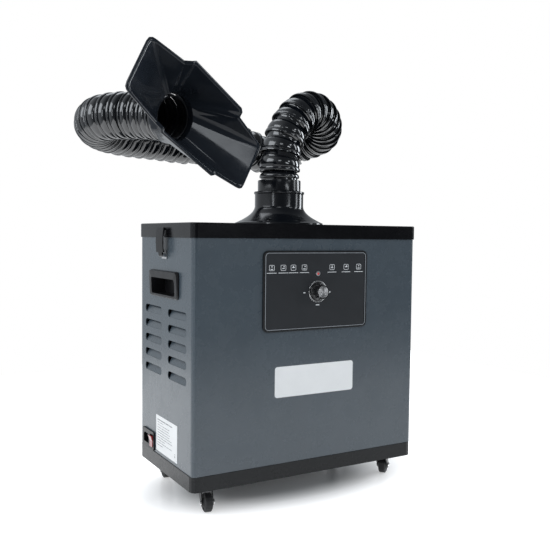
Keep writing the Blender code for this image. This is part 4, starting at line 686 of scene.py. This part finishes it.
def black_steel(name, colour, roughness):
    """Oil-blacked steel with rubbed patches and light flecks."""
    steel = Finish(name, colour, roughness, 0.6)
    steel.mottled(220.0, 0.7, 1.6).specks((0.16, 0.15, 0.14), 700.0, 0.3)
    steel.rubbed(300.0, 0.12).grained(2400.0, 0.00002)
    return steel.material


def spun_aluminium(name, centre):
    """Spun face: fine rings about the knob's axis and a gloss drawn round them."""
    spun = Finish(name, (0.80, 0.80, 0.81), 0.24, 1.0)
    rings = spun.node("ShaderNodeTexWave", {"Scale": 900.0, "Distortion": 0.4},
                      wave_type="RINGS", rings_direction="Y", wave_profile="SIN")
    spun.link(spun.placed(location=tuple(-part for part in centre)), rings.inputs["Vector"])
    spun.paint(spun.mixed(rings.outputs["Fac"], spun.tinted(0.86), spun.tinted(1.05)))
    spun.rubbed(90.0, 0.03)
    spun.raised(rings.outputs["Fac"], 0.000004)
    tangent = spun.node("ShaderNodeTangent", direction_type="RADIAL", axis="Y")
    spun.shader.inputs["Anisotropic"].default_value = 0.85
    spun.link(tangent.outputs["Tangent"], spun.shader.inputs["Tangent"])
    return spun.material


def chromed(name):
    """Bright plated ring with faint pits."""
    chrome = Finish(name, (0.92, 0.92, 0.93), 0.30, 1.0)
    chrome.mottled(500.0, 0.94, 1.04).rubbed(700.0, 0.06).grained(2600.0, 0.000006)
    return chrome.material


def red_lens(name, colour, roughness):
    """Tinted clear plastic over a light, with flow marks, and painted shade: lighter where it faces the view and
    darker towards its edges.
    """
    lens = Finish(name, colour, roughness)
    # Painted shade: the tint is lighter where the face looks toward the view and darker where it turns away, towards
    # the edges.
    depth = lens.node("ShaderNodeLayerWeight", {"Blend": 0.35})
    flow = lens.ranged(lens.noise(260.0, 3.0), 0.3, 0.7, 0.9, 1.1)
    facing_shade = lens.mixed(depth.outputs["Facing"], lens.tinted(1.25), lens.tinted(0.45))
    tone = lens.node("ShaderNodeMix", {0: 1.0}, data_type="RGBA", blend_type="MULTIPLY")
    lens.link(facing_shade, tone.inputs[6])
    lens.link(flow, tone.inputs[7])
    lens.paint(tone.outputs[2])
    lens.shader.inputs["Coat Weight"].default_value = 0.6
    lens.shader.inputs["Coat Roughness"].default_value = 0.06
    lens.rubbed(300.0, 0.05).grained(1500.0, 0.000006)
    return lens.material


def rubber(name, colour, roughness):
    """Dull rubber with dust in its pores."""
    gum = Finish(name, colour, roughness).glossed(0.35)
    gum.mottled(120.0, 0.8, 1.3).specks((0.10, 0.10, 0.095), 800.0, 0.35, 0.6)
    gum.rubbed(150.0, 0.10).grained(1700.0, 0.00005, 4.0)
    return gum.material


def fibre(name, colour, roughness):
    """Filter fleece: crossing fibres with grey dust."""
    fleece = Finish(name, colour, roughness).glossed(0.1)
    strands = fleece.noise(500.0, 6.0, 0.75, fleece.placed(scale=(1, 4, 1)))
    share = fleece.ranged(strands, 0.35, 0.65, 0, 1)
    fleece.paint(fleece.mixed(share, fleece.tinted(0.72), fleece.tinted(1.05)))
    fleece.specks((0.35, 0.34, 0.32), 70.0, 0.3, 0.55)
    fleece.rubbed(200.0, 0.05)
    fleece.raised(strands, 0.0004)
    return fleece.material


def board_mask(name, colour, roughness):
    """Lacquered board with darker tracks under the lacquer."""
    board = Finish(name, colour, roughness)
    tones = {key: (*board.tinted(share), 1) for key, share in (("Color1", 1.25), ("Color2", 1.1), ("Mortar", 0.6))}
    tracks = board.node("ShaderNodeTexBrick", {"Scale": 60.0, **tones})
    board.link(board.spot, tracks.inputs["Vector"])
    board.paint(tracks.outputs["Color"])
    board.specks((0.6, 0.6, 0.55), 500.0, 0.3, 0.66)
    board.rubbed(200.0, 0.08).grained(900.0, 0.00004)
    return board.material


def label_stock(name):
    """White laminated label: paper tone, faint curl marks and a clear film."""
    stock = Finish(name, (0.93, 0.93, 0.92), 0.38)
    stock.mottled(22.0, 0.97, 1.02).specks((0.62, 0.63, 0.64), 600.0, 0.14, 0.64)
    stock.rubbed(40.0, 0.08).grained(260.0, 0.00003, 1.0)
    return stock.material


def printed_ink(name, colour):
    """Screen-printed ink: slightly uneven cover."""
    ink = Finish(name, colour, 0.5)
    ink.mottled(900.0, 0.82, 1.1).rubbed(500.0, 0.08).grained(2500.0, 0.00001)
    return ink.material


FINISHES = {}


def make_finishes():
    """All finishes: those of the record's slots by the slots' names, and a few for single pieces and prints."""
    cabinet = bpy.context.scene.extractor_cabinet
    arm = bpy.context.scene.extractor_arm
    black = tuple(cabinet.gloss_black)
    FINISHES.update({
        "cabinet_paint": powder_coat("body_powder_coat", cabinet.body_paint, 0.27, 0.55),
        "lid_paint": powder_coat("lid_powder_coat", cabinet.lid_paint, 0.22, 0.22),
        "tray_paint": powder_coat("tray_powder_coat", cabinet.tray_paint, 0.27, 0.2),
        "arm_plastic": gloss_moulding("arm_gloss_plastic", black, arm.sheen, 0.95),
        "hood_plastic": gloss_moulding("hood_gloss_plastic", (0.013, 0.016, 0.021), 0.07, 0.2),
        "flange_plastic": gloss_moulding("flange_gloss_plastic", black, 0.17),
        # The bores inside the rings: a rougher, darker copy of the black plastic; the darker tone is painted shade
        # inside the arm.
        "arm_inside": satin_moulding("arm_bore_plastic_with_painted_shade", tuple(part * 0.7 for part in black), 0.62, 0.15),
        "panel_plastic": satin_moulding("panel_satin_plastic", (0.007, 0.008, 0.009), 0.42, 0.25),
        "panel_field": satin_moulding("panel_field_film", (0.016, 0.018, 0.021), 0.52, 0.28),
        "fitting_plastic": satin_moulding("fitting_satin_plastic", (0.006, 0.006, 0.007), 0.38, 0.3),
        "knob_plastic": satin_moulding("knob_satin_plastic", (0.010, 0.010, 0.011), 0.27),
        "latch_plastic": satin_moulding("latch_satin_plastic", (0.005, 0.005, 0.006), 0.16, 0.12),
        "impeller_plastic": satin_moulding("impeller_plastic", (0.028, 0.028, 0.029), 0.4),
        "filter_frame": satin_moulding("filter_frame_plastic", (0.030, 0.033, 0.037), 0.55),
        "gasket_rubber": rubber("gasket_rubber", (0.018, 0.018, 0.018), 0.8),
        "wheel_rubber": rubber("wheel_rubber", (0.016, 0.016, 0.017), 0.5),
        "plated_steel": zinc_plate("zinc_plated_steel", (0.58, 0.58, 0.59), 0.32),
        "axle": zinc_plate("axle_zinc", (0.70, 0.70, 0.70), 0.26),
        "screw_black": black_steel("screw_black_steel", (0.035, 0.035, 0.036), 0.35),
        "caster_fork_black": powder_coat("fork_black_coat", (0.012, 0.012, 0.013), 0.33),
        "motor_paint": powder_coat("motor_black_coat", (0.050, 0.050, 0.055), 0.45),
        "filter_fibre": fibre("filter_fleece", (0.80, 0.80, 0.78), 0.92),
        "board_green": board_mask("board_green_lacquer", (0.020, 0.180, 0.070), 0.35),
        "knob_aluminium": spun_aluminium("spun_aluminium", KNOB_PLACE),
        "lamp_bezel": chromed("lamp_bezel_chrome"),
        # The lamp's lens and the rocker both take the lens finish, with its painted shade towards their edges.
        "lamp_red": red_lens("lamp_red_lens", (0.50, 0.012, 0.016), 0.15),
        "rocker_red": red_lens("rocker_red_plastic", (0.34, 0.010, 0.012), 0.22),
        "label": label_stock("label_stock"),
        "ink_grey": printed_ink("ink_grey", (0.16, 0.17, 0.18)),
        "ink_white": printed_ink("ink_white", (0.90, 0.92, 0.94)),
        # A grey line on the panel's rim: a painted highlight along its inner edge, in printed ink.
        "line_grey": printed_ink("line_grey", (0.42, 0.44, 0.47)),
    })


class EXTRACTOR_OT_finishes(bpy.types.Operator):
    """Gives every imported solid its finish"""
    bl_idname = "extractor.finishes"
    bl_label = "Finishes"

    def execute(self, context):
        make_finishes()
        slots = {row["node"]: row["material_slot"] for row in frame["record"]["subparts"]}
        for name, solid in frame["nodes"].items():
            chosen = "axle" if name.startswith("caster_axle") else name if name in FINISHES else slots[name]
            if not solid.data.materials:
                solid.data.materials.append(None)
            for place in solid.material_slots:
                place.material = FINISHES[chosen]
        return {"FINISHED"}


class EXTRACTOR_OT_arm(bpy.types.Operator):
    """Models one ring of the arm, and lays its copies along the arm's route"""
    bl_idname = "extractor.arm"
    bl_label = "Arm rings"

    def execute(self, context):
        sides = context.scene.extractor_arm.sides
        lower = RING_BRIM + RING_DOME
        ball_middle = RING_PITCH + SKIRT_REACH
        ball = tuple((radius, ball_middle + height) for radius, height in BALL_TOP)
        patterns = {
            "plain": turned("ring_pattern", lower + RING_NECK + RING_BORE, sides),
            "socket": turned("socket_ring_pattern", SOCKET_BRIM + RING_DOME + RING_NECK + SOCKET_BORE, sides),
            "first": turned("first_ring_pattern", RING_SLEEVE + RING_DOME + RING_NECK + RING_BORE[:1], sides),
            "ball": turned("ball_ring_pattern", lower + ball + RING_BORE[1:], sides),
        }
        for pattern in patterns.values():
            pattern.data.materials.append(FINISHES["arm_plastic"])
            pattern.data.materials.append(FINISHES["arm_inside"])
            # Faces that look inwards, the bores, take the darker inner finish, which paints shade inside the arm.
            for face in pattern.data.polygons:
                if face.normal.x * face.center.x + face.normal.y * face.center.y < OUTWARD_LEAST:
                    face.material_index = 1
        route = ArmRoute()
        edges = ring_edges(route.lengths[-1])
        balls = {ring: route.at(edges[ring] + SKIRT_REACH) for ring in PIVOT_RINGS}
        stops = [0, *PIVOT_RINGS, len(edges) - 1]
        bodies = ["arm_swivel_body"] + ["arm_link_%d" % (index + 1) for index in range(len(PIVOT_RINGS))]
        for index, (first, last) in enumerate(zip(stops, stops[1:])):
            rings = []
            for ring in range(first, last):
                kind = self.kind_of(ring)
                new = copied("ring_%d" % ring, patterns[kind])
                self.lay(new, route, balls, edges[ring], edges[ring + 1], ring, kind)
                rings.append(new)
            arm = gathered("arm_rings_%d" % (index + 1), rings)
            smoothed(arm, ROUND_ANGLE)
            dressed(arm, None, bodies[index], "arm_plastic", "arm_section_%d" % (index + 1))
        for pattern in patterns.values():
            bpy.data.objects.remove(pattern)
        return {"FINISHED"}

    @staticmethod
    def kind_of(ring):
        """Which pattern a ring is copied from."""
        if ring + 1 in PIVOT_RINGS:
            return "ball"
        if ring in PIVOT_RINGS:
            return "socket"
        return "plain" if ring else "first"

    @staticmethod
    def lay(new, route, balls, start, end, ring, kind):
        """Stretches a ring to its pitch and bends it along the route; a ball joint's parts stay rigid."""
        pitch = end - start
        step = RING_PITCH + SKIRT_REACH + BALL_TOP[0][1]
        places = {}
        for point in new.data.vertices:
            height = point.co.z
            key = round(height, 6)
            if key not in places:
                if kind == "ball":
                    room = step + pitch - RING_PITCH
                    length = height * room / step if height < step else height + pitch - RING_PITCH
                else:
                    length = height * pitch / RING_PITCH
                if kind == "ball" and height >= step:
                    place = balls[ring + 1]
                    lift = start + length - end - SKIRT_REACH
                elif ring in balls and length < 2 * SKIRT_REACH:
                    place = balls[ring]
                    lift = length - SKIRT_REACH
                else:
                    place = route.at(start + length)
                    lift = 0
                places[key] = (place, lift)
            place, lift = places[key]
            point.co = place @ Vector((point.co.x, point.co.y, lift))


class EXTRACTOR_OT_hood(bpy.types.Operator):
    """Refines the moulded hood: soft creases between its flat faces and a rounded rim"""
    bl_idname = "extractor.hood"
    bl_label = "Hood"

    def execute(self, context):
        hood = from_solid("hood_moulding", "hood")
        pick(hood)
        edit("FACE")
        bpy.ops.mesh.dissolve_limited(angle_limit=math.radians(FLAT_ANGLE))
        let_go()
        modified(hood, "BEVEL", width=CREASE_WIDTH, segments=2, limit_method="ANGLE",
                 angle_limit=math.radians(CREASE_ANGLE), harden_normals=False)
        smoothed(hood, ROUND_ANGLE)
        modified(hood, "WEIGHTED_NORMAL", keep_sharp=True, weight=FACE_WEIGHT)
        dressed(hood, FINISHES["hood_plastic"], "hood_body", "hood_plastic", "hood")
        return {"FINISHED"}


class EXTRACTOR_OT_duct(bpy.types.Operator):
    """Turns the duct flange and the swivel cuff"""
    bl_idname = "extractor.duct"
    bl_label = "Flange and cuff"

    def execute(self, context):
        flare = []
        for step in range(FLARE_STEPS + 1):
            share = step / FLARE_STEPS
            flare.append((FLARE_RADIUS + FLARE_WIDTH * (1 - share) ** 2, FLARE_FOOT + FLARE_HEIGHT * share))
        profile = (*FLANGE_FOOT, *flare, *FLANGE_COLLAR, *FLANGE_BORE)
        flange = turned("flange_moulding", profile, TURNED_SIDES, FLANGE_BASE)
        cutters = []
        for turn in SCREW_TURNS:
            angle = math.radians(turn)
            let_go()
            bpy.ops.mesh.primitive_cylinder_add(
                vertices=SPOT_SIDES, radius=SPOT_RADIUS, depth=SPOT_CUT,
                location=(SCREW_CIRCLE * math.cos(angle), SCREW_CIRCLE * math.sin(angle),
                          FLANGE_BASE + SPOT_HEIGHT + SPOT_CUT / 2))
            cutters.append(started("screw_spot_%d" % turn))
        spots = gathered("screw_spots", cutters)
        modified(flange, "BOOLEAN", operation="DIFFERENCE", object=spots, solver="EXACT")
        bpy.data.objects.remove(spots)
        smoothed(flange, ROUND_ANGLE)
        dressed(flange, FINISHES["flange_plastic"], "cabinet", "flange_plastic", "duct_flange")

        cuff = turned("cuff_moulding", CUFF_PROFILE, TURNED_SIDES, CUFF_BASE)
        smoothed(cuff, ROUND_ANGLE)
        dressed(cuff, FINISHES["flange_plastic"], "arm_swivel_body", "arm_plastic", "arm_cuff")
        return {"FINISHED"}


def front(x, z, out):
    """Place on the front wall, that far out of it."""
    return Matrix.Translation((x, FRONT_Y - out, z)) @ Matrix.Rotation(math.radians(90), 4, "X")


def left(y, z, out):
    """Place on the left end wall, that far out of it."""
    return (Matrix.Translation((LEFT_X - out, y, z)) @ Matrix.Rotation(math.radians(-90), 4, "Z")
            @ Matrix.Rotation(math.radians(90), 4, "X"))


def frame_line(name, width, height, line, thickness, corner, place):
    """A thin closed line round a rounded rectangle."""
    new = plate(name, width, height, thickness, corner, Matrix.Identity(4))
    pick(new)
    edit("FACE", "DESELECT")
    mesh = bmesh.from_edit_mesh(new.data)
    for face in mesh.faces:
        face.select = abs(face.normal.z) > FLAT_LEAST
    bmesh.update_edit_mesh(new.data)
    bpy.ops.mesh.inset(thickness=line)
    bpy.ops.mesh.delete(type="FACE")
    bridged(new)
    new.matrix_world = place
    smoothed(new)
    return new


class EXTRACTOR_OT_labels(bpy.types.Operator):
    """Lays the bare front label and the ruled side label on the cabinet"""
    bl_idname = "extractor.labels"
    bl_label = "Labels"

    def execute(self, context):
        cabinet = context.scene.extractor_cabinet
        width, height = cabinet.label_width, cabinet.label_height
        face = plate("front_label", width, height, LABEL_FILM, FRONT_LABEL_CORNER,
                     front(*FRONT_LABEL_PLACE, LABEL_LIFT))
        dressed(face, FINISHES["label"], "cabinet", "cabinet_paint")

        side = plate("side_label", *SIDE_LABEL, left(SIDE_LABEL_Y, SIDE_LABEL_Z, LABEL_LIFT))
        dressed(side, FINISHES["label"], "cabinet", "cabinet_paint")
        rules = []
        for row, bars in enumerate(SIDE_ROWS):
            thick = SIDE_LINE if row else SIDE_HEADING
            start = SIDE_LABEL_Y + SIDE_ROW_START
            for bar in bars:
                place = left(start - bar / 2, SIDE_LABEL_Z + SIDE_ROW_TOP - row * SIDE_ROW_STEP, RULE_LIFT)
                rules.append(plate("side_rule", bar, thick, PRINT_FILM, SIDE_BAR_CORNER, place, 1))
                start -= bar + SIDE_BAR_GAP
        for lift in SIDE_MARK_LIFTS:
            place = left(SIDE_LABEL_Y - SIDE_MARK_SHIFT, SIDE_LABEL_Z - SIDE_MARK_DROP + lift, RULE_LIFT)
            rules.append(plate("side_mark", *SIDE_MARK, place, 1))
        lines = gathered("side_label_rules", rules)
        dressed(lines, FINISHES["ink_grey"], "cabinet", "cabinet_paint")
        return {"FINISHED"}


class EXTRACTOR_OT_panel(bpy.types.Operator):
    """Lays the panel's field, prints its plain signs and the marks round the knob, and lays a grey line on its rim as
    a painted highlight
    """
    bl_idname = "extractor.panel"
    bl_label = "Panel marks"

    def execute(self, context):
        out = FIELD_OUT + FIT + FIELD_LIFT
        field = plate("panel_field", *PANEL_FIELD, front(*PANEL_PLACE, out - FILM_OVERLAP))
        dressed(field, FINISHES["panel_field"], "cabinet", "panel_plastic")
        # A grey line along the inner edge of the panel's rim: a painted highlight.
        rim = frame_line("panel_rim_highlight", *PANEL_RIM_HIGHLIGHT, front(*PANEL_PLACE, RIM_OUT + FILM_OVERLAP))
        dressed(rim, FINISHES["line_grey"], "cabinet", "panel_plastic")
        out += PRINT_FILM
        marks = []
        for index, x in enumerate(SIGN_PLACES):
            bar_z = SIGN_BAR_Z + SIGN_SHIFT * (index % 3 - 1)
            dot_x = x + SIGN_SHIFT * (index % 2)
            marks += [
                frame_line("sign_%d" % index, *SIGN_FRAME, front(x, SIGN_Z, out)),
                plate("sign_bar_%d" % index, *SIGN_BAR, front(x, bar_z, out), 2),
                plate("sign_dot_%d" % index, *SIGN_DOT, front(dot_x, SIGN_DOT_Z, out), 3),
                plate("sign_rule_%d" % index, *SIGN_RULE, front(x, SIGN_RULE_Z, out), 1)]
        for index, (x, z, *size) in enumerate(DIAL_MARKS):
            marks.append(plate("dial_mark_%d" % index, *size, PRINT_FILM, DIAL_CORNER, front(x, z, out), 2))
        printed = gathered("panel_signs", marks)
        dressed(printed, FINISHES["ink_white"], "cabinet", "panel_plastic")
        return {"FINISHED"}


class EXTRACTOR_OT_stage(bpy.types.Operator):
    """Sets the pale floor, the soft lamps, the surroundings and the camera"""
    bl_idname = "extractor.stage"
    bl_label = "Studio"

    def execute(self, context):
        studio = context.scene.extractor_studio
        self.floor(studio)
        context.scene.world = self.surroundings(studio)
        for name, (place, aim, width, height, setting, share, roll) in LAMPS.items():
            self.lamp(name, place, aim, width, height, getattr(studio, setting) * share, roll)
        context.scene.camera = self.camera(studio)
        context.scene.view_settings.view_transform = "Standard"
        return {"FINISHED"}

    @staticmethod
    def floor(studio):
        """A pale floor that glows towards its edge, so that it runs into the backdrop, and has no glow over the
        cabinet's footprint, which leaves a painted shadow under the cabinet.
        """
        let_go()
        bpy.ops.mesh.primitive_plane_add(size=studio.floor_size, location=(0, 0, FLOOR_Z))
        floor = started("floor")
        bpy.ops.object.transform_apply()
        pale = Finish("pale_floor", (0.80, 0.80, 0.80), 0.16).glossed(0.45)
        rays = pale.node("ShaderNodeLightPath").outputs
        seen = pale.worked("MAXIMUM", rays["Is Camera Ray"], rays["Is Glossy Ray"])
        # No glow over the cabinet's footprint, coming up past it: a painted shadow under the cabinet.
        footprint = pale.worked("MULTIPLY", pale.spot, (1, BODY_ASPECT, 0), "ShaderNodeVectorMath")
        away = pale.worked("LENGTH", footprint.outputs[0], kind="ShaderNodeVectorMath")
        glow = pale.ranged(away.outputs["Value"], *FLOOR_SHADOW_FADE, 0.0, 1.0, "SMOOTHSTEP")
        strength = pale.worked("MULTIPLY", seen.outputs[0], glow)
        pale.shader.inputs["Emission Color"].default_value = (1, 1, 1, 1)
        pale.link(strength.outputs[0], pale.shader.inputs["Emission Strength"])
        floor.data.materials.append(pale.material)

    @staticmethod
    def surroundings(studio):
        """Light from all round: white to the camera, an even fill, and brighter on one side in the gloss."""
        world = bpy.data.worlds.new("studio")
        world.use_nodes = True
        world.node_tree.nodes.clear()
        room = Nodes(world.node_tree)
        rays = room.node("ShaderNodeLightPath").outputs
        seen = room.worked("MAXIMUM", rays["Is Camera Ray"], rays["Is Transmission Ray"])
        toward = room.node("ShaderNodeTexCoord").outputs["Generated"]
        side = room.worked("DOT_PRODUCT", toward, BRIGHT_SIDE, "ShaderNodeVectorMath")
        level = room.ranged(side.outputs["Value"], *BRIGHT_RANGE, DARK_LEVEL, studio.backdrop, "SMOOTHSTEP")
        power = room.node("ShaderNodeMix", {2: studio.fill}, data_type="FLOAT")
        room.link(rays["Is Glossy Ray"], power.inputs[0])
        room.link(level, power.inputs[3])
        plain = room.node("ShaderNodeBackground", {"Color": (1, 1, 1, 1), "Strength": 1})
        soft = room.node("ShaderNodeBackground", {"Color": (*studio.lamp_colour, 1)})
        room.link(power.outputs[0], soft.inputs["Strength"])
        mix = room.node("ShaderNodeMixShader")
        for source, target in zip((seen, soft, plain), mix.inputs):
            room.link(source.outputs[0], target)
        room.link(mix.outputs[0], room.node("ShaderNodeOutputWorld").inputs[0])
        return world

    @staticmethod
    def camera(studio):
        """The camera, from its place, its three turns and its focal length."""
        data = bpy.data.cameras.new("camera")
        camera = bpy.data.objects.new("camera", data)
        bpy.context.scene.collection.objects.link(camera)
        yaw, pitch, roll = (math.radians(angle) for angle in studio.camera_turns)
        ahead = Vector((math.sin(yaw) * math.cos(pitch), math.cos(yaw) * math.cos(pitch), math.sin(pitch)))
        right = Vector((math.cos(yaw), -math.sin(yaw), 0))
        up = right.cross(ahead)
        rolled = right * math.cos(roll) + up * math.sin(roll)
        rolled_up = -right * math.sin(roll) + up * math.cos(roll)
        place = Matrix((rolled, rolled_up, -ahead)).transposed().to_4x4()
        place.translation = Vector(studio.camera_place)
        camera.matrix_world = place
        data.sensor_fit = "HORIZONTAL"
        data.sensor_width = FILM_WIDTH
        data.lens = FILM_WIDTH * studio.camera_focus
        data.clip_end = VIEW_END
        return camera

    @staticmethod
    def lamp(name, place, aim, width, height, power, roll):
        """A soft rectangular lamp that points at a spot, rolled about its own axis."""
        data = bpy.data.lights.new(name, "AREA")
        data.shape = "RECTANGLE"
        data.size = width
        data.size_y = height
        data.energy = power
        data.color = bpy.context.scene.extractor_studio.lamp_colour
        lamp = bpy.data.objects.new(name, data)
        bpy.context.scene.collection.objects.link(lamp)
        lamp.visible_camera = False
        lamp.location = place
        turn = (Vector(aim) - Vector(place)).to_track_quat("-Z", "Y")
        lamp.rotation_euler = (turn @ Quaternion((0, 0, 1), math.radians(roll))).to_euler()


SETTINGS = {
    "extractor_cabinet": CabinetSettings, "extractor_arm": ArmSettings, "extractor_studio": StudioSettings}
OPERATORS = (
    EXTRACTOR_OT_finishes, EXTRACTOR_OT_stage, EXTRACTOR_OT_arm, EXTRACTOR_OT_hood, EXTRACTOR_OT_duct,
    EXTRACTOR_OT_labels, EXTRACTOR_OT_panel)


class EXTRACTOR_PT_panel(bpy.types.Panel):
    """Lists the pieces and their settings"""
    bl_idname = "EXTRACTOR_PT_panel"
    bl_label = "Fume extractor"
    bl_space_type = "VIEW_3D"
    bl_region_type = "UI"
    bl_category = "Extractor"

    def draw(self, context):
        layout = self.layout
        for setting in SETTINGS:
            settings = getattr(context.scene, setting)
            box = layout.box()
            for key in settings.__annotations__:
                box.prop(settings, key)
        for operator in OPERATORS:
            layout.operator(operator.bl_idname)


CLASSES = (*SETTINGS.values(), *OPERATORS, EXTRACTOR_PT_panel)


def register():
    for kind in CLASSES:
        bpy.utils.register_class(kind)
    for setting, kind in SETTINGS.items():
        setattr(bpy.types.Scene, setting, PointerProperty(type=kind))


def unregister():
    for setting in SETTINGS:
        delattr(bpy.types.Scene, setting)
    for kind in reversed(CLASSES):
        bpy.utils.unregister_class(kind)


def main():
    register()
    for operator in OPERATORS:
        group, name = operator.bl_idname.split(".")
        getattr(getattr(bpy.ops, group), name)()
    let_go()


if __name__ == "__main__":
    main()
